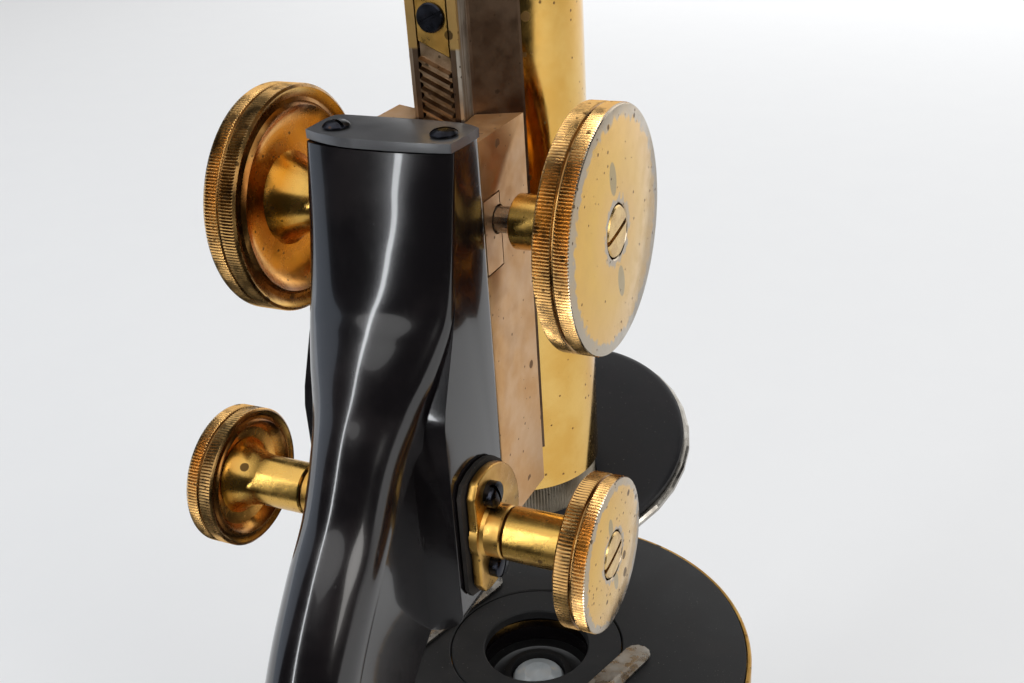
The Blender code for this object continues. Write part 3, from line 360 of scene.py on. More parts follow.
class Graph:
    """Short calls for laying out the shader nodes of one material."""

    def __init__(self, name: str) -> None:
        """Start a material with its shader and object coordinates."""
        self.material = bpy.data.materials.new(name)
        self.material.use_nodes = True
        self.tree = self.material.node_tree
        self.shader = self.tree.nodes["Principled BSDF"]
        self.place = self.tree.nodes.new("ShaderNodeTexCoord").outputs["Object"]

    def feed(self, socket: Socket, value: object) -> None:
        """Link a socket, or set its constant."""
        if isinstance(value, bpy.types.NodeSocket):
            self.tree.links.new(value, socket)
        else:
            socket.default_value = value

    def add(self, kind: str, inputs: dict, **settings: object) -> bpy.types.Node:
        """Add a node with its settings and inputs, and return it.

        Args:
            kind: Type name of the node.
            inputs: Constants or sockets by input name or number.
            **settings: Properties of the node.

        Returns:
            The node.
        """
        node = self.tree.nodes.new(kind)
        for key, value in settings.items():
            setattr(node, key, value)
        for key, value in inputs.items():
            self.feed(node.inputs[key], value)
        return node

    def noise(self, size: float, detail: float = 4.0, stretch: Point = (1, 1, 1), shift: float = 0.0
              ) -> Socket:
        """Return noise with features of a size in millimetres, finer along stretched axes.

        Args:
            size: Size of the features.
            detail: Number of finer octaves.
            stretch: Weight of each axis, small along a streak.
            shift: Moves the pattern.

        Returns:
            The noise, about 0.2 to 0.8.
        """
        scale = [s / (size * MM) for s in stretch]
        at = self.add("ShaderNodeMapping", {"Vector": self.place, "Location": (shift,) * 3,
                                            "Scale": scale}).outputs[0]
        return self.add("ShaderNodeTexNoise", {"Vector": at, "Scale": 1.0, "Detail": detail,
                                               "Roughness": 0.6}).outputs["Fac"]

    def spots(self, cell: float, radius: float, share: float, shift: float = 0.0) -> Socket:
        """Return round spots scattered over the surface.

        Args:
            cell: Mean distance between possible spots in millimetres.
            radius: Largest radius of a spot in millimetres.
            share: Share of the cells that hold one, 0 to 1.
            shift: Moves the pattern.

        Returns:
            One inside a spot, zero outside.
        """
        wander = self.add("ShaderNodeVectorMath", {0: self.place, 1: (shift, shift, shift)}).outputs[0]
        cells = self.add("ShaderNodeTexVoronoi", {"Vector": wander, "Scale": 1.0 / (cell * MM)})
        chance = self.add("ShaderNodeSeparateColor", {"Color": cells.outputs["Color"]}).outputs
        size = self.maths("MULTIPLY", chance[1], radius / cell)
        ragged = self.maths("MULTIPLY", self.noise(0.5, 2.0), 0.05)
        inside = self.maths("SUBTRACT", size, self.maths("SUBTRACT", cells.outputs["Distance"], ragged))
        return self.maths("MULTIPLY", self.band(inside, -0.01, 0.03),
                          self.maths("LESS_THAN", chance[0], share))

    def band(self, value: Socket, low: float, high: float, bottom: float = 0.0, top: float = 1.0
             ) -> Socket:
        """Map a value from low..high to bottom..top with soft ends."""
        return self.add("ShaderNodeMapRange", {"Value": value, "From Min": low, "From Max": high,
                                               "To Min": bottom, "To Max": top},
                        interpolation_type="SMOOTHSTEP").outputs["Result"]

    def maths(self, operation: str, first: object, second: object = 0.0) -> Socket:
        """Return one operation on two values."""
        return self.add("ShaderNodeMath", {0: first, 1: second}, operation=operation).outputs[0]

    def blend(self, amount: object, first: object, second: object) -> Socket:
        """Mix two colours.

        Args:
            amount: Share of the second colour.
            first: A colour or a socket.
            second: A colour or a socket.

        Returns:
            The mixed colour.
        """
        node = self.tree.nodes.new("ShaderNodeMix")
        node.data_type = "RGBA"
        self.feed(node.inputs[0], amount)
        for socket, value in ((node.inputs[6], first), (node.inputs[7], second)):
            self.feed(socket, (*value, 1.0) if isinstance(value, tuple) else value)
        return node.outputs[2]

    def split(self) -> tuple[Socket, Socket, Socket]:
        """Return the object coordinates one by one, in metres."""
        out = self.add("ShaderNodeSeparateXYZ", {"Vector": self.place}).outputs
        return out[0], out[1], out[2]

    def reach(self, first: Socket, second: Socket, centre: tuple[float, float]) -> Socket:
        """Return the distance in millimetres from a line that runs along one axis.

        Args:
            first: The first coordinate across the line.
            second: The second coordinate across it.
            centre: Place of the line in those coordinates.

        Returns:
            The distance.
        """
        squares = [self.maths("POWER", self.maths("SUBTRACT", s, c * MM), 2.0)
                   for s, c in zip((first, second), centre)]
        return self.maths("DIVIDE", self.maths("SQRT", self.maths("ADD", *squares)), MM)

    def ramp(self, value: Socket, stops: Sequence[tuple[float, Colour]], reach: float) -> Socket:
        """Colour a value by stops given in the value's own unit up to a reach.

        Args:
            value: The value.
            stops: Where each colour stands.
            reach: Value at the end of the ramp.

        Returns:
            The colour.
        """
        node = self.add("ShaderNodeValToRGB", {"Fac": self.maths("DIVIDE", value, reach)})
        marks = node.color_ramp.elements
        while len(marks) < len(stops):
            marks.new(0.5)
        for mark, (where, colour) in zip(marks, stops):
            mark.position, mark.color = where / reach, (*colour, 1.0)
        return node.outputs["Color"]

    def bump(self, height: Socket, depth: float, strength: float = 1.0) -> None:
        """Give the shader relief of a depth in millimetres.

        Args:
            height: The relief, from zero to one.
            depth: Depth of the relief.
            strength: Share of it that shows.
        """
        relief = self.add("ShaderNodeBump", {"Height": height, "Strength": strength,
                                             "Distance": depth * MM})
        self.feed(self.shader.inputs["Normal"], relief.outputs[0])

    def dress(self, colour: object, roughness: object, metallic: float, coat: float = 0.0,
              coat_roughness: float = 0.03, ior: float = 1.5, shine: float = 0.5) -> Material:
        """Set the shader's own sockets and return the material.

        Args:
            colour: A colour or a socket.
            roughness: A number or a socket.
            metallic: Zero or one.
            coat: Weight of the clear coat.
            coat_roughness: Its roughness.
            ior: Refractive index.
            shine: Level of the plain reflection.

        Returns:
            The material.
        """
        if isinstance(colour, tuple):
            colour = (*colour, 1.0)
        self.feed(self.shader.inputs["Base Color"], colour)
        self.feed(self.shader.inputs["Roughness"], roughness)
        for key, value in (("Metallic", metallic), ("Coat Weight", coat), ("IOR", ior),
                           ("Coat Roughness", coat_roughness), ("Specular IOR Level", shine)):
            self.shader.inputs[key].default_value = value
        return self.material


@dataclass(frozen=True)
class Finish:
    """A finish and the record's slot that it belongs to."""

    name: str
    slot: str

    def material(self) -> Material:
        """Return the finish's material, made once."""
        return bpy.data.materials.get(self.name) or self.mix(Graph(self.name))

    def mix(self, g: Graph) -> Material:
        """Lay out the finish in a graph and return its material."""
        raise NotImplementedError


@dataclass(frozen=True)
class Lacquer(Finish):
    """Glossy baked black over cast iron, with hairline scratches and a little dust."""

    colour: Colour = (0.0045, 0.0035, 0.0042)
    haze: Colour = (0.011, 0.0085, 0.0090)
    roughness: float = 0.16
    coat: float = 0.6
    scratch: float = 0.0025

    def mix(self, g: Graph) -> Material:
        """Lay out the finish in a graph and return its material."""
        cloud = g.noise(14.0, 5.0)
        lines = g.noise(0.7, 3.0, (1.0, 0.12, 1.0))
        other = g.noise(0.9, 3.0, (1.0, 1.0, 0.10), 3.0)
        hair = g.maths("ADD", g.band(lines, 0.66, 0.74), g.band(other, 0.66, 0.74))
        colour = g.blend(g.band(cloud, 0.42, 0.72), self.colour, self.haze)
        colour = g.blend(g.maths("MULTIPLY", g.band(g.noise(0.35, 2.0, shift=7.0), 0.70, 0.78), 0.5),
                         colour, (0.05, 0.042, 0.04))
        rough = g.maths("ADD", g.band(cloud, 0.3, 0.75, self.roughness, self.roughness + 0.06),
                        g.maths("MULTIPLY", hair, 0.08))
        g.bump(g.maths("SUBTRACT", g.noise(6.0, 3.0), hair), self.scratch, 0.5)
        return g.dress(colour, rough, 0.0, self.coat, 0.045)


@dataclass(frozen=True)
class Metal(Finish):
    """Aged metal with cloudy colour, dark specks, worn patches and brushing.

    Attributes:
        light: Colour of the rubbed metal.
        deep: Colour of the toned metal.
        stain: Colour of specks and old lacquer.
        spots: Share of the surface under specks, 0 to 1.
        patches: Share of the surface under broad stains, 0 to 1.
        roughness: Roughness of the smoothest part.
        spread: Roughness added in the dull parts.
        grain: Direction weights of the brushing, small along it.
        depth: Depth of the brushing in millimetres.
        cloud: Size of the cloudy tone in millimetres.
    """

    light: Colour = (0.80, 0.56, 0.22)
    deep: Colour = (0.62, 0.38, 0.12)
    stain: Colour = (0.10, 0.055, 0.02)
    spots: float = 0.25
    patches: float = 0.2
    roughness: float = 0.22
    spread: float = 0.18
    grain: Point = (1.0, 1.0, 0.05)
    depth: float = 0.004
    cloud: float = 9.0

    def mix(self, g: Graph) -> Material:
        """Lay out the finish in a graph and return its material."""
        return self.finish(g, self.tone(g))

    def tone(self, g: Graph) -> Socket:
        """Return the cloudy colour from the rubbed to the toned metal."""
        return g.blend(g.band(g.noise(self.cloud, 6.0), 0.35, 0.66), self.light, self.deep)

    def finish(self, g: Graph, colour: Socket, rough: object = None) -> Material:
        """Lay stains, specks and brushing over a base colour.

        Args:
            g: The graph.
            colour: The base colour.
            rough: Roughness added to the own one, or none.

        Returns:
            The material.
        """
        broad = g.band(g.noise(5.0, 8.0, shift=2.0), 0.80 - 0.25 * self.patches,
                       0.88 - 0.20 * self.patches)
        fine = g.spots(1.5, 0.30, 0.55 * self.spots, 0.013)
        dots = g.spots(4.2, 0.95, 0.75 * self.spots, 0.031)
        dark = g.maths("MINIMUM", g.maths("ADD", g.maths("MULTIPLY", broad, 0.55),
                                          g.maths("ADD", g.maths("MULTIPLY", fine, 0.9), dots)), 1.0)
        brush = g.noise(0.25, 3.0, self.grain, 1.0)
        base = g.band(g.noise(3.0, 5.0, shift=4.0), 0.3, 0.7, self.roughness,
                      self.roughness + self.spread)
        if rough is not None:
            base = g.maths("ADD", base, rough)
        total = g.maths("ADD", base, g.maths("MULTIPLY", dark, 0.22))
        g.bump(g.maths("SUBTRACT", g.maths("ADD", brush, g.noise(0.8, 3.0)), dark), self.depth, 0.6)
        return g.dress(g.blend(g.maths("MULTIPLY", dark, 0.85), colour, self.stain), total, 1.0)


@dataclass(frozen=True)
class KnobBrass(Metal):
    """Brass of a focusing knob, coloured by how far a spot lies from its shaft, with painted shade in the
    cove on its back and in the knurl grooves.

    Attributes:
        centre: Place (y, z) of the shaft.
        radius: Radius of the knob.
        face: Distance of the outer face from the middle.
        screw: Radius of the screw's seat.
    """

    centre: tuple[float, float] = (1.0, 239.0)
    radius: float = 22.0
    face: float = 35.7
    screw: float = 4.6

    def mix(self, g: Graph) -> Material:
        """Lay out the finish in a graph and return its material."""
        x, y, z = g.split()
        out = g.reach(y, z, self.centre)
        across = g.maths("DIVIDE", g.maths("ABSOLUTE", x), MM)
        amber, gold, tan = (0.62, 0.25, 0.022), (0.70, 0.42, 0.10), (0.74, 0.45, 0.13)
        r, s = self.radius, self.screw
        # Back of the knob coloured by radius; the dark browns from 0.80 to 0.90 of the radius are painted
        # shade in the cove.
        dish = g.ramp(out, [(0.0, gold), (5.6, gold), (7.5, amber), (r * 0.60, (0.86, 0.44, 0.10)),
                            (r * 0.74, (0.70, 0.33, 0.07)), (r * 0.80, (0.16, 0.06, 0.015)),
                            (r * 0.90, (0.22, 0.09, 0.02)), (r * 0.955, gold), (r, gold)], r * 1.05)
        ragged = g.maths("ADD", out, g.band(g.noise(1.8, 6.0, shift=8.0), 0.2, 0.8, -1.1, 1.1))
        patina = (0.45, 0.38, 0.29)
        face = g.ramp(ragged, [(0.0, tan), (s, patina), (s + 1.3 * r / 22, patina),
                               (s + 1.7 * r / 22, tan), (r * 0.55, (0.76, 0.47, 0.11)),
                               (r - 2.7 * r / 22, tan), (r - 2.0 * r / 22, patina), (r, patina)], r * 1.1)
        colour = g.blend(g.band(across, self.face - 1.1, self.face - 0.35), dish, face)
        inside = g.band(across, self.face - 0.25, self.face - 0.5)
        edge = g.maths("MULTIPLY", g.band(out, r - 0.85, r - 0.6), inside)
        # Painted shade in the knurl valleys and the groove between the two bands.
        painted_groove_shade = g.maths("MULTIPLY", edge, g.band(out, r - 0.02, r - 0.30))
        colour = g.blend(edge, colour, (0.70, 0.41, 0.15))
        colour = g.blend(g.maths("MULTIPLY", painted_groove_shade, 0.75), colour, (0.13, 0.06, 0.016))
        soot = g.band(g.noise(4.0, 6.0, shift=6.0), 0.50, 0.66)
        colour = g.blend(g.maths("MULTIPLY", edge, g.maths("MULTIPLY", soot, 0.75)), colour,
                         (0.12, 0.075, 0.035))
        colour = g.blend(g.band(g.noise(self.cloud, 6.0), 0.40, 0.75, 0.0, 0.35), colour, self.deep)
        leaf = self.leaves(g, y, z)
        colour = g.blend(g.maths("MULTIPLY", g.band(across, self.face - 0.5, self.face - 0.2), leaf),
                         colour, (0.40, 0.30, 0.14))
        return self.finish(g, colour, g.band(across, self.face - 1.1, self.face - 0.35, 0.02, -0.04))

    def leaves(self, g: Graph, y: Socket, z: Socket) -> Socket:
        """Return two leaf-shaped dull marks above and below the screw.

        Args:
            g: The graph.
            y: The Y coordinate.
            z: The Z coordinate.

        Returns:
            One inside a mark, zero outside.
        """
        along = g.maths("DIVIDE", g.maths("SUBTRACT", z, self.centre[1] * MM), MM * self.radius)
        aside = g.maths("DIVIDE", g.maths("SUBTRACT", y, self.centre[0] * MM), MM * self.radius)
        lean = g.maths("ADD", aside, g.maths("MULTIPLY", along, 0.15))
        high = g.maths("SUBTRACT", g.maths("ABSOLUTE", along), 0.45)
        oval = g.maths("ADD", g.maths("POWER", g.maths("DIVIDE", g.maths("ABSOLUTE", high), 0.14), 2.0),
                       g.maths("POWER", g.maths("DIVIDE", g.maths("ABSOLUTE", lean), 0.07), 2.0))
        return g.band(oval, 1.1, 0.9)


@dataclass(frozen=True)
class BarMetal(Metal):
    """Dark bronze of the bar, with the rubbed neck beside the rack.

    Attributes:
        neck: Half width beyond which the neck's sides begin.
        step: Y where the flanks begin.
    """

    neck: float = 4.3
    step: float = 10.9

    def mix(self, g: Graph) -> Material:
        """Lay out the finish in a graph and return its material."""
        x, y, z = (g.maths("DIVIDE", s, MM) for s in g.split())
        side = g.maths("MULTIPLY", g.band(g.maths("ABSOLUTE", x), self.neck, self.neck + 0.15),
                       g.band(y, self.step, self.step - 0.5))
        stripe = g.blend(g.band(g.noise(1.6, 4.0, (1.0, 1.0, 0.02)), 0.40, 0.60), (0.52, 0.46, 0.38),
                         (0.30, 0.22, 0.15))
        rear = g.maths("MULTIPLY", g.band(y, 7.2, 6.6), g.band(z, 268.2, 267.6, 1.0, 0.0))
        colour = g.blend(rear, g.blend(side, self.tone(g), stripe), (0.52, 0.32, 0.11))
        return self.finish(g, colour)


@dataclass(frozen=True)
class Matte(Finish):
    """Dull black or grey coating with fine grain, rubbed patches and dust."""

    colour: Colour = (0.014, 0.014, 0.0145)
    rubbed: Colour = (0.024, 0.023, 0.023)
    roughness: float = 0.5
    coat: float = 0.0
    grain: float = 0.35
    depth: float = 0.012
    shine: float = 0.22

    def mix(self, g: Graph) -> Material:
        """Lay out the finish in a graph and return its material."""
        cloud, fine = g.noise(11.0, 6.0), g.noise(self.grain, 3.0)
        colour = g.blend(g.band(cloud, 0.40, 0.72), self.colour, self.rubbed)
        colour = g.blend(g.maths("MULTIPLY", g.band(g.noise(0.5, 2.0, shift=3.0), 0.70, 0.76), 0.45),
                         colour, (0.22, 0.20, 0.18))
        g.bump(fine, self.depth, 0.6)
        return g.dress(colour, g.band(cloud, 0.3, 0.7, self.roughness, self.roughness + 0.14), 0.0,
                       self.coat, 0.2, shine=self.shine)


@dataclass(frozen=True)
class Glass(Finish):
    """Solid optical glass, or silvered glass where it is metallic."""

    colour: Colour = (0.55, 0.60, 0.63)
    metallic: float = 0.0
    roughness: float = 0.03

    def mix(self, g: Graph) -> Material:
        """Lay out the finish in a graph and return its material."""
        smear = g.noise(6.0, 5.0, (1.0, 0.4, 1.0))
        shade = tuple(c * 0.82 for c in self.colour)
        return g.dress(g.blend(g.band(smear, 0.4, 0.7), self.colour, shade),
                       g.band(smear, 0.35, 0.75, self.roughness, self.roughness + 0.08),
                       self.metallic, 0.6, 0.02, 1.52)


LACQUER = Lacquer("black lacquer", "black_lacquer")
CAP_BLACK = Matte("cap lacquer", "black_lacquer", (0.055, 0.055, 0.058), (0.085, 0.085, 0.09), 0.30,
                  0.5, 0.25, 0.004, 1.0)
STAGE_BLACK = Matte("stage ebonite", "matte_black")
SHELL_BLACK = Matte("nosepiece black", "matte_black", (0.006, 0.006, 0.0075), (0.012, 0.011, 0.013),
                    0.42, 0.0, 0.3, 0.004)
PAPER_BLACK = Matte("gasket paper", "matte_black", (0.02, 0.018, 0.016), (0.05, 0.04, 0.035), 0.7)
BRASS = Metal("aged brass", "aged_brass", (0.64, 0.38, 0.10), (0.48, 0.25, 0.055), spots=0.45,
              roughness=0.24)
TUBE_BRASS = Metal("tube brass", "polished_brass", (0.80, 0.52, 0.16), (0.70, 0.40, 0.09),
                   (0.16, 0.09, 0.04), 0.45, 0.05, 0.10, 0.08, (1.0, 1.0, 0.02), 0.002, 20.0)
TAN_BRASS = Metal("satin brass", "satin_brass", (0.70, 0.47, 0.28), (0.66, 0.39, 0.18),
                  (0.24, 0.14, 0.08), 0.55, 0.15, 0.44, 0.14, (0.05, 1.0, 1.0), 0.006, 12.0)
BAR_BRASS = BarMetal("bar brass", "aged_brass", (0.13, 0.085, 0.055), (0.085, 0.05, 0.03),
                     (0.06, 0.035, 0.02), 0.3, 0.4, 0.34, 0.2, (1.0, 1.0, 0.03), 0.006, 8.0)
RACK_STEEL = Metal("rack steel", "dark_steel", (0.34, 0.23, 0.14), (0.20, 0.12, 0.06),
                   (0.06, 0.04, 0.025), 0.4, 0.4, 0.28, 0.2, (0.1, 1.0, 1.0), 0.006, 3.0)
SHAFT_STEEL = Metal("shaft steel", "dark_steel", (0.50, 0.47, 0.42), (0.30, 0.26, 0.22),
                    (0.07, 0.05, 0.035), 0.3, 0.25, 0.22, 0.2, (0.05, 1.0, 1.0), 0.004, 4.0)
BLUED = Metal("blued steel", "blued_steel", (0.035, 0.037, 0.048), (0.014, 0.014, 0.017),
              (0.10, 0.06, 0.04), 0.3, 0.3, 0.22, 0.2, (1.0, 1.0, 1.0), 0.004, 3.0)
NICKEL = Metal("worn nickel", "nickel", (0.46, 0.44, 0.40), (0.34, 0.31, 0.27), (0.12, 0.09, 0.06),
               0.3, 0.3, 0.20, 0.2, (1.0, 1.0, 0.1), 0.004, 7.0)
DARK_NICKEL = Metal("ring nickel", "nickel", (0.30, 0.26, 0.20), (0.20, 0.16, 0.11), (0.08, 0.05, 0.03),
                    0.3, 0.3, 0.30, 0.2, (1.0, 1.0, 0.1), 0.004, 7.0)
COARSE_BRASS = KnobBrass("coarse knob brass", "aged_brass", spots=0.9, roughness=0.17, spread=0.12)
FINE_BRASS = KnobBrass("fine knob brass", "aged_brass", centre=(-19.8, 186.5), radius=14.0, face=41.4,
                       screw=4.2, spots=0.7, roughness=0.17, spread=0.12)
SCREW_BRASS = Metal("knob screw brass", "aged_brass", (0.78, 0.54, 0.22), (0.60, 0.38, 0.14),
                    (0.10, 0.06, 0.03), 0.5, 0.3, 0.2, 0.15, (1.0, 1.0, 1.0), 0.006, 3.0)
LENS = Glass("lens glass", "lens_glass")
SILVER = Glass("silvered glass", "silvered_glass", (0.86, 0.88, 0.89), 1.0, 0.02)


# ---------------------------------------------------------------------------------------- assembling

@dataclass
class Assembly:
    """A sub-assembly that makes its pieces and reports them."""

    title: str = "assembly"

    def piece(self, name: str, bm: Shape, finish: Finish, body: str,
              replaces: Sequence[str] = (), smooth: float = 32.0) -> None:
        """Finish a shape as a piece that rides on a body.

        Args:
            name: Name of the piece.
            bm: The shape in millimetres, used up here.
            finish: Its finish.
            body: The body that it moves with.
            replaces: CAD nodes that it stands for.
            smooth: Edges below this angle are shaded smooth.
        """
        bmesh.ops.scale(bm, vec=(MM,) * 3, verts=bm.verts)
        obj = solid(bm, name)
        mesh = obj.data
        mesh.materials.append(finish.material())
        mesh.shade_smooth()
        mesh.set_sharp_from_angle(angle=math.radians(smooth))
        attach(obj, body)
        if replaces:
            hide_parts(*replaces)
        LOG.info("%s: %s, %d faces, on %s", self.title, name, len(mesh.polygons), body)

    def turned(self, node: str, profile: Profile, finish: Finish, body: str, steps: int = 192,
               knurls: Sequence[Knurl] = ()) -> None:
        """Turn a profile about the optical axis as the piece that stands for a node.

        Args:
            node: Name of the node.
            profile: Its (radius, height) points.
            finish: Its finish.
            body: The body that it moves with.
            steps: Number of steps of the full turn.
            knurls: Bands of ridges.
        """
        self.piece(node + "_turned", lathe(profile, UPRIGHT, steps=steps, knurls=knurls), finish, body,
                   [node])

    def keep(self, node: str, finish: Finish) -> None:
        """Dress a CAD node that stays as it is.

        Args:
            node: Name of the node.
            finish: Its finish.
        """
        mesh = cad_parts[node].data
        mesh.materials.clear()
        mesh.materials.append(finish.material())
        LOG.info("%s: %s keeps its CAD shape", self.title, node)

    def screw(self, name: str, radius: float, height: float, slot: float, at: Point, axis: Axis,
              sign: int, turn: float, finish: Finish, body: str, dome: float = 0.0) -> None:
        """Make a slotted screw head that stands for the CAD node of the same name.

        Args:
            name: Name of the node.
            radius: Radius of the head.
            height: Height of the head's edge.
            slot: Width of the slot.
            at: Foot of the head.
            axis: Direction of the screw.
            sign: Direction of the head along it.
            turn: Turn of the slot in degrees.
            finish: Its finish.
            body: The body that it rides on.
            dome: Rise of the head's middle over its edge.
        """
        edge = [(radius, 0.0), (radius, height - 0.25), (radius - 0.25, height)]
        crown = [(radius * f, height + dome * (1 - f * f)) for f in (0.75, 0.5, 0.25)]
        head = lathe([(0.0, 0.0), *edge, *crown, (0.0, height + dome)], steps=48, closed=False)
        cutter = soften(block((-radius * 2, -slot / 2, height * 0.45), (radius * 2, slot / 2, height * 4)),
                        0.05, 1)
        bmesh.ops.rotate(cutter, verts=cutter.verts, cent=(0, 0, 0),
                         matrix=Matrix.Rotation(math.radians(turn), 3, "Z"))
        head = joined(head, cutter, Join.CUT)
        bmesh.ops.transform(head, matrix=Matrix.Translation(Vector(at)) @ turn_to(axis, sign),
                            verts=head.verts)
        self.piece(name + "_head", head, finish, body, [name], 30.0)


@dataclass
class Limb(Assembly):
    """Black limb: column behind the focusing block, round-backed handle, web, cap and lug.

    Attributes:
        half: Half width of the column.
        front: Y of its front.
        top: Z of its top.
        rear: Y of its rear.
        bottom: Z where the column's lower end begins to round.
        web_half: Half width of the web.
        stations: Places (y, z) along the round back, with half width, bulge and depth.
    """

    title: str = "limb"
    half: float = 14.3
    front: float = -5.0
    top: float = 256.6
    rear: float = -27.6
    bottom: float = 171.5
    web_half: float = 7.0
    stations: tuple = (
        (-15.5, 256.6, 14.3, 2.9, 6.0), (-16.8, 249.0, 14.3, 3.6, 6.0),
        (-18.3, 240.0, 14.3, 4.4, 6.0), (-20.2, 231.0, 14.2, 5.6, 6.0), (-22.4, 225.0, 13.6, 6.9, 6.0),
        (-25.4, 218.5, 12.2, 8.0, 6.0), (-28.6, 212.0, 10.4, 8.5, 5.0), (-32.6, 206.0, 9.0, 8.5, 3.0),
        (-38.9, 195.6, 8.3, 8.3, 1.0), (-46.3, 186.7, 8.3, 8.3, 1.0), (-54.2, 175.7, 8.3, 8.3, 1.0),
        (-60.5, 163.0, 8.3, 8.3, 1.0), (-63.6, 149.5, 8.3, 8.3, 1.0), (-63.9, 136.0, 8.3, 8.3, 1.0),
        (-61.4, 122.5, 8.3, 8.3, 1.0), (-56.4, 110.5, 8.3, 8.0, 1.0), (-50.6, 101.0, 7.8, 7.0, 1.0),
        (-45.8, 94.0, 6.7, 5.4, 1.0))

    def build(self) -> None:
        """Make every piece of the limb."""
        self.piece("limb_handle", self.handle(), LACQUER, "limb", ["limb"], 50.0)
        self.piece("limb_column", self.column(), LACQUER, "limb", ["limb"])
        self.piece("limb_web", self.web(), LACQUER, "limb", ["limb"])
        self.cap()
        self.keep("incline_axle", SHAFT_STEEL)

    def handle(self) -> Shape:
        """Loft the round back along its curve by bridging half-ellipse rings."""
        bm = bmesh.new()
        rings, count = [], 40
        line = flowing(self.stations, 150)
        for i, (y, z, half, bulge, depth) in enumerate(line):
            before, after = line[max(i - 1, 0)], line[min(i + 1, len(line) - 1)]
            along = Vector((0.0, after[0] - before[0], after[1] - before[1])).normalized()
            back = Vector((0.0, -1.0, 0.0)).lerp(Vector((0.0, along.z, -along.y)), min(i / 10, 1.0))
            back.normalize()
            centre = Vector((0.0, y, z))
            points = [centre + Vector((half * math.cos(a), 0.0, 0.0)) + back * bulge * math.sin(a)
                      for a in (math.pi * k / count for k in range(count + 1))]
            inner = half - 0.05
            points += [centre - back * depth + Vector((s * inner, 0.0, 0.0)) for s in (-1, 1)]
            verts = [bm.verts.new(p) for p in points]
            rings.append([bm.edges.new((a, b)) for a, b in zip(verts, verts[1:] + verts[:1])])
        bmesh.ops.bridge_loops(bm, edges=[e for ring in rings for e in ring])
        ends = [e for e in bm.edges if e.is_boundary]
        bmesh.ops.holes_fill(bm, edges=ends, sides=0)
        bmesh.ops.recalc_face_normals(bm, faces=bm.faces)
        return bm

    def column(self) -> Shape:
        """Cut the column from its plan, its side view and its rounded lower end."""
        corner = 3.2
        plan = mirrored([(0.0, -45.0), (self.half, -45.0)]
                        + arc(self.half - corner, self.front - corner, corner, 0.0, 90.0, 12)
                        + [(0.0, self.front)])
        side = [(10.0, 280.0), (-15.5, 280.0), (-15.5, self.top), (-16.8, 249.0), (-18.3, 240.0),
                (-20.2, 231.0), (-22.0, 226.0), (-24.9, 219.0), (-26.8, 214.5), (self.rear, 211.0),
                (self.rear, 140.0), (10.0, 140.0)]
        end = [(self.half + 3.0, 270.0), (self.half + 3.0, self.bottom)]
        end += [(x * self.half, self.bottom - 6.5 * y) for x, y in arc(0.0, 0.0, 1.0, 0.0, 90.0, 20)]
        body = joined(prism(plan, 150.0, self.top), prism(side, -40.0, 40.0, Axis.X), Join.KEEP_COMMON)
        body = joined(body, prism(mirrored(end), -60.0, 20.0, Axis.Y), Join.KEEP_COMMON)
        bmesh.ops.dissolve_limit(body, angle_limit=math.radians(0.5), verts=body.verts, edges=body.edges)
        return soften(body, 0.35, 3, 40.0)

    def web(self) -> Shape:
        """Cut the flat web and lug under the handle."""
        spine = flowing([(s[0], s[1]) for s in self.stations[6:]], 60)
        inner = flowing([(-27.4, 166.0), (-30.2, 163.8), (-35.6, 159.4), (-43.5, 149.5), (-48.6, 138.0),
                         (-49.8, 127.0), (-47.2, 117.0), (-41.0, 110.6), (-33.0, 108.6)], 48)
        low, high = -37.0, 79.0
        edge = [(-24.0, 211.0), (-24.0, 168.0)] + inner + [(-23.3, 108.6), (-23.3, 88.0)]
        edge += arc(low, high, 11.0, 25.0, -205.0, 40) + [(-46.4, 91.5)]
        edge += [(y, z) for y, z in reversed(spine)]
        web = prism(edge, -self.web_half, self.web_half, Axis.X)
        seat = soften(block((-12.0, -33.0, 94.0), (12.0, -23.2, 108.3)), 0.6, 2)
        web = joined(web, seat, Join.ADD)
        return joined(web, rod(4.3, -20.0, 20.0, (0.0, low, high), Axis.X, 48), Join.CUT)

    def cap(self) -> None:
        """Make the cap plate and its two domed screws."""
        low = self.top + GAP
        plan = [(-14.6, -15.2), (-10.4, -17.0), (-5.5, -18.2), (0.0, -18.4), (5.9, -18.2),
                (13.4, -17.3), (14.5, -16.0), (14.8, -8.5), (14.6, -7.6), (12.4, -6.3), (9.2, -5.6),
                (0.0, -5.35), (-11.5, -5.5), (-13.4, -5.8), (-14.6, -7.4)]
        outline = flowing(plan + plan[:1], 90)[:-1]
        bm = prism(outline, low, low + 1.6)
        top = [e for e in bm.edges if all(v.co.z > low + 1.5 for v in e.verts)]
        self.piece("cap_plate", rounded(bm, top, 0.7, 4), CAP_BLACK, "limb", ["limb_cap"])
        for side, x, turn in ((Side.LEFT, -9.6, -28.0), (Side.RIGHT, 11.2, 30.0)):
            self.screw("cap_screw_" + side.label, 2.4, 0.5, 0.6, (x, -13.2, low + 1.6 + GAP), Axis.Z, 1,
                       turn, BLUED, "limb", 0.6)


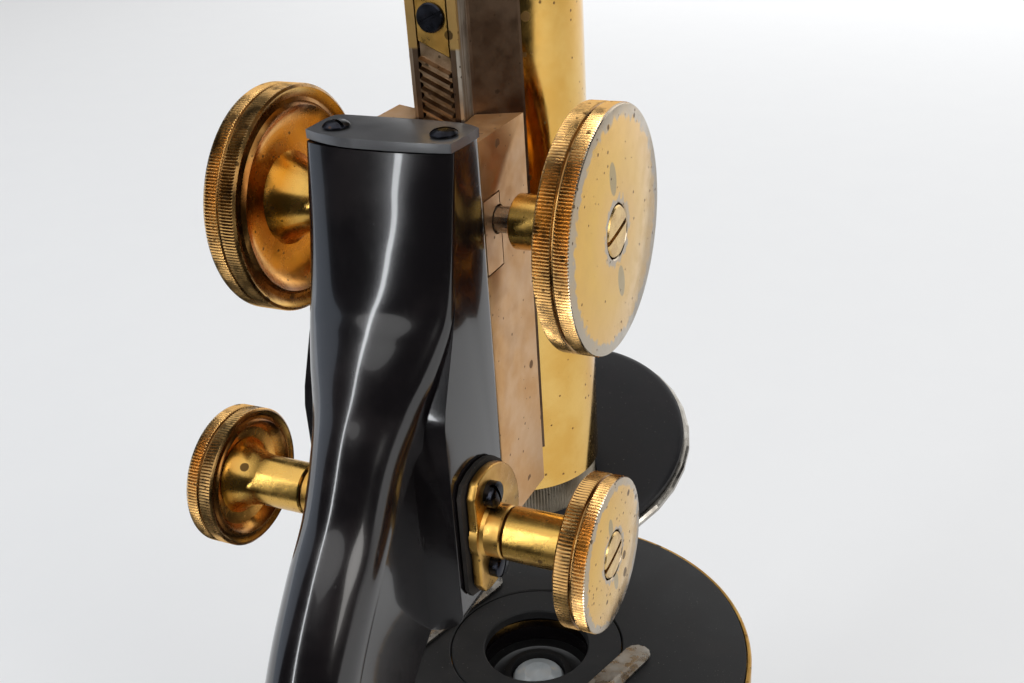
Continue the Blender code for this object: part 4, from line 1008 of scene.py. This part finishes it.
@dataclass
class Knob(Assembly):
    """A turned focusing knob: worn face, two knurled bands, dished back and bell hub.

    Attributes:
        side: Side of the stand.
        kind: Name of the drive.
        radius: Radius over the ridges.
        face: Distance of the outer face from the middle.
        back: Distance of the rim's inner edge.
        hub_end: Distance where the hub ends.
        bore: Radius of the shaft's hole.
        seat: Radius of the screw's recess.
        ridges: Number of ridges round the edge.
        y: Y of the shaft.
        z: Z of the shaft.
    """

    title: str = "knob"
    side: Side = Side.RIGHT
    kind: str = "coarse"
    radius: float = 22.0
    face: float = 35.7
    back: float = 28.9
    hub_end: float = 16.9
    bore: float = 2.75
    seat: float = 4.9
    ridges: int = 230
    y: float = 1.0
    z: float = 239.0

    def profile(self) -> list:
        """Return the (radius, distance) points of one side."""
        r, f, b = self.radius, self.face, self.back
        s, wide = r / 22.0, f - b
        dish = f - 3.9 * wide / 6.8
        mid = 0.5 * (f + b) + 0.2
        edge = [(r - 0.45, f), (r - 0.18, f - 0.12), (r, f - 0.45), (r, mid + 0.45), (r - 0.25, mid + 0.3),
                (r - 0.55, mid + 0.1), (r - 0.55, mid - 0.1), (r - 0.25, mid - 0.3), (r, mid - 0.45),
                (r, b + 0.55 * s), (r - 0.2, b + 0.3 * s), (r - 0.7 * s, b)]
        cove = [(r * 0.945, b + 0.25 * s), (r * 0.92, b + 0.75 * s), (r * 0.885, b + 1.0 * s),
                (r * 0.85, b + 0.75 * s), (r * 0.832, b + 0.3 * s), (r * 0.818, b + 0.05),
                (r * 0.805, b + 0.3 * s)]
        bowl = [(r * 0.77, b + 1.1 * s), (r * 0.71, dish - 0.75 * s), (r * 0.62, dish - 0.12 * s),
                (r * 0.52, dish)]
        hub = [(5.05 + 4.1 * s, dish - 0.15), (5.05 + 3.1 * s, dish - 1.0 * s),
               (5.05 + 2.2 * s, dish - 2.6 * s), (5.05 + 1.2 * s, dish - 4.4 * s),
               (5.05 + 0.5 * s, dish - 6.4 * s), (5.05, dish - 9.0 * s), (5.05, self.hub_end + 0.3),
               (4.75, self.hub_end), (self.bore, self.hub_end), (self.bore, f - 2.4)]
        return [(self.seat, f - 2.4), (self.seat, f - 0.2), (self.seat + 0.2, f)] + edge + cove + bowl + hub

    def build(self) -> None:
        """Make the knob and its screw."""
        r, f, b = self.radius, self.face, self.back
        mid = 0.5 * (f + b) + 0.2
        bands = (Knurl(mid + 0.4, f - 0.3, r, 0.42), Knurl(b + 0.4, mid - 0.4, r, 0.42))
        at, sign = (0.0, self.y, self.z), self.side.value
        body = self.kind + "_drive"
        shape = lathe(self.profile(), at, Axis.X, sign, self.ridges * 2, True, bands)
        finish = COARSE_BRASS if self.kind == "coarse" else FINE_BRASS
        name = "%s_knob_%s" % (self.kind, self.side.label)
        self.piece(name + "_turned", shape, finish, body, [name], 28.0)
        screw = "%s_knob_screw_%s" % (self.kind, self.side.label)
        self.screw(screw, self.seat - GAP, 2.2, 0.9, (sign * (f - 2.4 + GAP), self.y, self.z), Axis.X,
                   sign, 100.0, SCREW_BRASS, body, 0.12)


@dataclass
class FineFocus(Assembly):
    """Cross shaft of the fine focus with flanges, gaskets, screws and knobs."""

    title: str = "fine focus"
    y: float = -19.8
    z: float = 186.5
    near: float = 14.6

    def build(self) -> None:
        """Make both ends of the fine focus."""
        self.keep("fine_shaft", SHAFT_STEEL)
        for side in Side:
            Knob("fine knob", side, "fine", 14.0, 41.4, 35.4, 21.7, 2.6, 4.5, 140, self.y,
                 self.z).build()
            self.flange(side)

    def flange(self, side: Side) -> None:
        """Make one flange with its boss and two screws.

        Args:
            side: Side of the stand.
        """
        self.keep("gasket_" + side.label, PAPER_BLACK)
        angle = math.degrees(math.acos(-5.4 / 12.4))
        rim = arc(0.0, 0.0, 12.4, -angle + 8.0, angle - 8.0, 64)
        top = math.sqrt(12.4 ** 2 - 5.4 ** 2) - 12.4 * math.radians(8.0)
        outline = [(self.y + a, self.z + b) for a, b in rim + [(-5.4, top), (-5.4, -top)]]
        ends = sorted((side.value * (self.near + 1.1), side.value * (self.near + 2.9)))
        plate = soften(prism(outline, *ends, Axis.X), 0.4, 3, 25.0)
        boss = lathe([(2.6, self.near + 1.3), (2.6, 21.3), (4.8, 21.3), (5.05, 21.05),
                      (5.05, self.near + 3.6), (5.5, self.near + 3.0), (6.0, self.near + 2.85),
                      (6.0, self.near + 1.3)],
                     (0.0, self.y, self.z), Axis.X, side.value, 96)
        self.piece("fine_flange_%s_plate" % side.label, joined(plate, boss, Join.ADD), BRASS, "limb",
                   ["fine_flange_" + side.label])
        for level, lift, turn in (("upper", 7.7, 20.0), ("lower", -7.7, -35.0)):
            self.screw("flange_screw_%s_%s" % (level, side.label), 2.5, 1.9, 0.6,
                       (side.value * (self.near + 2.9 + 0.05), self.y, self.z + lift), Axis.X,
                       side.value, turn, BLUED, "limb", 0.35)


@dataclass
class CoarseFocus(Assembly):
    """Pinion and knobs of the coarse focus, and the satin block that carries them."""

    title: str = "coarse focus"

    def build(self) -> None:
        """Make the knobs and the block."""
        self.keep("coarse_pinion", SHAFT_STEEL)
        for side in Side:
            Knob("coarse knob", side).build()
        self.piece("focus_block", copied("slide_block"), TAN_BRASS, "fine_block", ["slide_block"])
        for side in Side:
            self.keep("pinion_plate_" + side.label, TAN_BRASS)


@dataclass
class TubeCarrier(Assembly):
    """Bar with its rack, and the body tube with collar, draw tube and eyepiece."""

    title: str = "tube"

    def build(self) -> None:
        """Make the bar, the rack and the tubes."""
        self.keep("dovetail_bar", BAR_BRASS)
        self.keep("rack", RACK_STEEL)
        self.keep("rack_keeper", BRASS)
        self.screw("rack_screw", 2.65, 0.5, 0.6, (0.0, 5.7, 273.4), Axis.Y, -1, 25.0, BLUED,
                   "tube_carrier")
        tube = [(15.8, 305.0), (16.9, 305.0), (17.2, 304.7), (17.2, 170.3), (16.9, 170.0), (15.8, 170.0)]
        self.turned("body_tube", tube, TUBE_BRASS, "tube_carrier")
        collar = [(15.2, 313.3), (16.6, 313.3), (17.4, 312.9), (18.0, 312.2), (18.0, 311.4), (17.6, 311.2),
                  (17.6, 310.9), (18.0, 310.7), (18.0, 307.2), (17.6, 306.9), (17.6, 306.6), (18.0, 306.4),
                  (17.2, 305.3), (15.2, 305.3)]
        self.turned("tube_collar", collar, BRASS, "tube_carrier", 360, [Knurl(307.0, 310.8, 18.0, 0.3)])
        draw = [(12.0, 323.0), (15.4, 323.0), (15.8, 322.8), (16.0, 322.4), (16.0, 319.8), (15.7, 319.4),
                (14.9, 319.2), (14.9, 215.3), (14.6, 215.0), (12.0, 215.0)]
        self.turned("draw_tube", draw, NICKEL, "draw_tube", 160)
        cup = [(4.2, 331.9), (5.4, 332.6), (8.0, 332.9), (12.6, 332.7), (13.6, 332.4), (14.3, 331.8),
               (14.6, 331.1), (14.6, 324.6), (14.3, 323.8), (13.8, 323.3), (11.6, 323.3), (11.6, 289.3),
               (10.2, 289.3), (10.2, 327.3), (4.2, 328.7)]
        milled = [Knurl(324.5, 331.2, 14.6, 0.2)]
        self.piece("eyepiece_turned", lathe(cup, UPRIGHT, steps=288, knurls=milled), LACQUER, "eyepiece",
                   ["eyepiece_body"])
        self.keep("eyepiece_lens", LENS)


@dataclass
class Nosepiece(Assembly):
    """Knurled ring, black shell, turning plate and the objectives."""

    title: str = "nosepiece"
    y: float = 49.4
    z: float = 162.8
    tilt: float = 20.0

    def build(self) -> None:
        """Make the nosepiece."""
        top = 169.7
        ring = [(12.0, top), (15.7, top), (16.1, top - 0.2), (16.4, top - 0.6), (16.4, top - 6.6),
                (16.1, top - 7.0), (15.6, top - 7.4), (12.0, top - 7.4)]
        self.turned("nosepiece_ring", ring, DARK_NICKEL, "tube_carrier", 300,
                    [Knurl(top - 6.7, top - 0.5, 16.4, 0.28)])
        self.shell(top - 7.7)
        self.keep("nosepiece_turret", NICKEL)
        for name in ("objective_low", "objective_high"):
            self.keep(name, BRASS)

    def tilted(self, bm: Shape) -> Shape:
        """Lean a shape drawn upright at the origin onto the nosepiece's axis, and return it.

        Args:
            bm: The shape.

        Returns:
            The same shape.
        """
        place = Matrix.Translation((0.0, self.y, self.z)) @ Matrix.Rotation(math.radians(self.tilt), 4, "X")
        bmesh.ops.transform(bm, matrix=place, verts=bm.verts)
        return bm

    def shell(self, seat: float) -> None:
        """Make the fixed black shell with its socket under the tube.

        Args:
            seat: Z of the top of the socket.
        """
        dome = flowing([(0.0, 4.6), (6.0, 4.55), (12.0, 4.3), (22.0, 3.1), (28.5, 1.6), (30.4, 0.9),
                        (31.2, 0.1)], 30) + [(31.2, -1.2), (0.0, -1.2)]
        shell = self.tilted(lathe(dome, steps=160, closed=False))
        at = (0.0, OPTIC_Y, seat)
        shell = joined(shell, rod(14.6, -30.0, 0.0, at), Join.ADD)
        shell = joined(shell, self.tilted(block((-60, -60, -60), (60, 60, -1.2))), Join.CUT)
        shell = joined(shell, rod(16.8, 0.0, 30.0, at), Join.CUT)
        shell = joined(shell, rod(8.0, -30.0, 30.0, at, steps=64), Join.CUT)
        self.piece("nosepiece_dome", shell, SHELL_BLACK, "tube_carrier", ["nosepiece_shell"], 40.0)


@dataclass
class Stage(Assembly):
    """Round stage on its bracket, with the centre insert and two clips."""

    title: str = "stage"
    top: float = 113.3

    def build(self) -> None:
        """Make the stage."""
        t = self.top
        base = t - 5.8
        rim = [(52.2, t - 0.5), (52.7, t - 0.45), (53.0, t - 0.7), (53.1, t - 1.0), (53.1, base + 0.5),
               (52.6, base), (17.0, base), (17.0, base + 2.9), (52.2, base + 2.9)]
        self.turned("stage_rim", rim, BRASS, "stage", 256)
        plate = [(21.6, t - 0.25), (21.85, t), (51.5, t), (51.8, t - 0.1), (51.9, t - 0.4),
                 (51.9, base + 3.2), (21.6, base + 3.2)]
        self.turned("stage_plate", plate, STAGE_BLACK, "stage", 256)
        insert = [(13.0, t - 0.5), (13.3, t - 0.15), (21.0, t - 0.1), (21.3, t - 0.35),
                  (21.3, base + 3.2), (13.0, base + 3.2)]
        self.turned("stage_insert", insert, STAGE_BLACK, "stage")
        for side in Side:
            self.piece("stage_clip_%s_spring" % side.label, copied("stage_clip_" + side.label), NICKEL,
                       "clip_" + side.label, ["stage_clip_" + side.label])
        self.bracket(t - 11.3)

    def bracket(self, low: float) -> None:
        """Make the bracket ring with its inner web and the arm that meets the limb.

        Args:
            low: Z of the underside of the ring.
        """
        ring = [(46.0, low + 5.2), (46.6, low + 5.0), (47.0, low + 4.4), (47.0, low + 1.6), (44.0, low),
                (24.0, low), (24.0, low + 1.1), (14.0, low + 1.1), (14.0, low + 5.2)]
        arm = prism([(-22.9, low - 7.0), (-22.9, low + 5.2), (12.0, low + 5.2), (12.0, low + 0.4),
                     (-10.0, low - 5.0), (-16.0, low - 7.0)], -11.0, 11.0, Axis.X)
        arm = joined(soften(arm, 0.4, 2), rod(24.0, low - 20.0, low + 20.0, UPRIGHT), Join.CUT)
        self.piece("stage_bracket_ring", lathe(ring, UPRIGHT, steps=192), LACQUER, "limb",
                   ["stage_bracket"])
        self.piece("stage_bracket_arm", arm, LACQUER, "limb", ["stage_bracket"])


@dataclass
class Substage(Assembly):
    """Tailpiece, condenser, iris lever, substage knob and mirror."""

    title: str = "substage"

    def build(self) -> None:
        """Dress the pieces under the stage."""
        shell = [(6.9, 104.6), (8.2, 104.6), (8.6, 104.4), (12.3, 102.1), (12.4, 101.8), (12.4, 98.9),
                 (20.5, 98.9), (20.8, 98.6), (20.8, 96.3), (20.5, 96.0), (18.4, 96.0), (18.4, 86.1),
                 (17.2, 85.3), (17.2, 82.5), (19.1, 81.7), (19.4, 81.4), (19.4, 79.6), (19.1, 79.3),
                 (6.9, 79.3)]
        self.turned("condenser_body", shell, STAGE_BLACK, "condenser", 160)
        for node, finish in (("tailpiece", LACQUER), ("condenser_carrier", BRASS), ("condenser_lens", LENS),
                             ("iris_lever", BRASS), ("substage_knob", BRASS), ("mirror_fork", BRASS),
                             ("mirror", SILVER)):
            self.keep(node, finish)


@dataclass
class Base(Assembly):
    """Horseshoe foot, forked pillar and clamp lever."""

    title: str = "base"

    def build(self) -> None:
        """Dress the foot, the pillar and the lever."""
        for node, finish in (("horseshoe_foot", LACQUER), ("pillar", LACQUER), ("clamp_lever", BRASS)):
            self.keep(node, finish)


# -------------------------------------------------------------------------------------------- studio

@dataclass
class Studio:
    """Pale floor, soft lights and the camera.

    Attributes:
        azimuth: Turn of the camera round the stand in degrees.
        elevation: Height of the camera in degrees.
        roll: Roll of the camera in degrees.
        focal: Focal length in widths of one frame column.
        frame_width: Columns of the frame.
        sensor: Width of the sensor in millimetres.
        place: Place of the camera in metres.
        floor_half: Half width of the floor in metres.
        floor_seam: Y where its two parts meet.
    """

    azimuth: float = 26.36
    elevation: float = 26.19
    roll: float = -3.887
    focal: float = 1199.83
    frame_width: int = 1024
    sensor: float = 36.0
    place: Point = (0.10424, -0.18108, 0.31445)
    floor_half: float = 6.0
    floor_seam: float = -0.30

    def build(self) -> None:
        """Set the floor, the lights, the world and the camera."""
        view = bpy.context.scene.view_settings
        view.view_transform, view.look = "Standard", "None"
        self.floor()
        self.world()
        self.sun()
        self.area("strip", (-0.45, -1.08, 0.60), (0.0, -0.03, 0.22), 0.06, 1.35, 3.8, (0.94, 0.97, 1.0),
                  18.0)
        self.area("left panel", (-1.3, -0.3, 0.5), (0.0, 0.0, 0.2), 1.0, 1.4, 3.0, (0.75, 0.85, 1.0))
        self.area("right panel", (1.5, -0.5, 0.9), (0.0, 0.0, 0.2), 0.9, 0.9, 9.0, (1.0, 0.98, 0.95))
        self.area("back panel", (0.1, 1.9, 0.7), (0.0, 0.0, 0.22), 2.4, 1.2, 14.0, (1.0, 1.0, 1.0))
        self.camera()
        LOG.info("studio: floor, five lights and camera")

    def floor(self) -> None:
        """Lay the pale floor in two parts, the rear one hidden from glossy rays."""
        g = Graph("pale floor")
        speck = g.noise(40.0, 3.0)
        material = g.dress(g.blend(speck, (0.80, 0.805, 0.815), (0.82, 0.825, 0.83)), 0.9, 0.0)
        far, seam = self.floor_half, self.floor_seam
        parts = (("floor_front", seam, far, True), ("floor_rear", -far, seam, False))
        for name, low, high, glossy in parts:
            bm = bmesh.new()
            bmesh.ops.create_grid(bm, x_segments=1, y_segments=1, size=1.0)
            bmesh.ops.scale(bm, vec=(far, (high - low) / 2, 1.0), verts=bm.verts)
            bmesh.ops.translate(bm, vec=(0.0, (low + high) / 2, 0.0), verts=bm.verts)
            obj = solid(bm, name)
            obj.data.materials.append(material)
            obj.visible_glossy = glossy

    def world(self) -> None:
        """Fill the room with even pale light."""
        world = bpy.data.worlds.new("room")
        world.use_nodes = True
        back = world.node_tree.nodes["Background"]
        back.inputs["Color"].default_value = (0.86, 0.88, 0.92, 1.0)
        back.inputs["Strength"].default_value = 0.03
        bpy.context.scene.world = world

    def sun(self) -> None:
        """Light the floor evenly from above through a wide soft sky."""
        data = bpy.data.lights.new("sky", "SUN")
        data.energy, data.angle = 2.15, math.radians(100.0)
        lamp = placed("sky", data)
        lamp.rotation_euler = (math.radians(8.0), 0.0, 0.0)

    def area(self, name: str, at: Point, to: Point, wide: float, high: float, power: float,
             colour: Colour, lean: float = 0.0) -> None:
        """Hang a soft panel light that faces a point, leaning by some degrees.

        Args:
            name: Name of the light.
            at: Its place in metres.
            to: The point that it faces.
            wide: Its width in metres.
            high: Its height in metres.
            power: Its power in watts.
            colour: Its colour.
            lean: Its turn in its own plane in degrees.
        """
        data = bpy.data.lights.new(name, "AREA")
        data.shape, data.size, data.size_y = "RECTANGLE", wide, high
        data.energy, data.color = power, colour
        lamp = placed(name, data)
        lamp.location = at
        aim = (Vector(to) - Vector(at)).to_track_quat("-Z", "Y").to_matrix()
        lamp.rotation_euler = (aim @ Matrix.Rotation(math.radians(lean), 3, "Z")).to_euler()
        lamp.visible_camera = False

    def camera(self) -> None:
        """Set the camera at its angle over the rear right shoulder."""
        a, e, r = (math.radians(v) for v in (self.azimuth, self.elevation, self.roll))
        back = Vector((math.sin(a) * math.cos(e), -math.cos(a) * math.cos(e), math.sin(e)))
        right = Vector((math.cos(a), math.sin(a), 0.0))
        up = back.cross(right)
        across = math.cos(r) * right + math.sin(r) * up
        high = -math.sin(r) * right + math.cos(r) * up
        data = bpy.data.cameras.new("camera")
        data.sensor_width, data.clip_start = self.sensor, 0.001
        data.lens = self.focal / self.frame_width * self.sensor
        camera = placed("camera", data)
        camera.matrix_world = Matrix.Translation(self.place) @ Matrix(
            (across, high, back)).transposed().to_4x4()
        bpy.context.scene.camera = camera


def main() -> None:
    """Build every sub-assembly in order, then the studio."""
    for assembly in (Base(), Limb(), FineFocus(), CoarseFocus(), TubeCarrier(), Nosepiece(), Stage(),
                     Substage()):
        assembly.build()
    Studio().build()


if __name__ == "__main__":
    main()
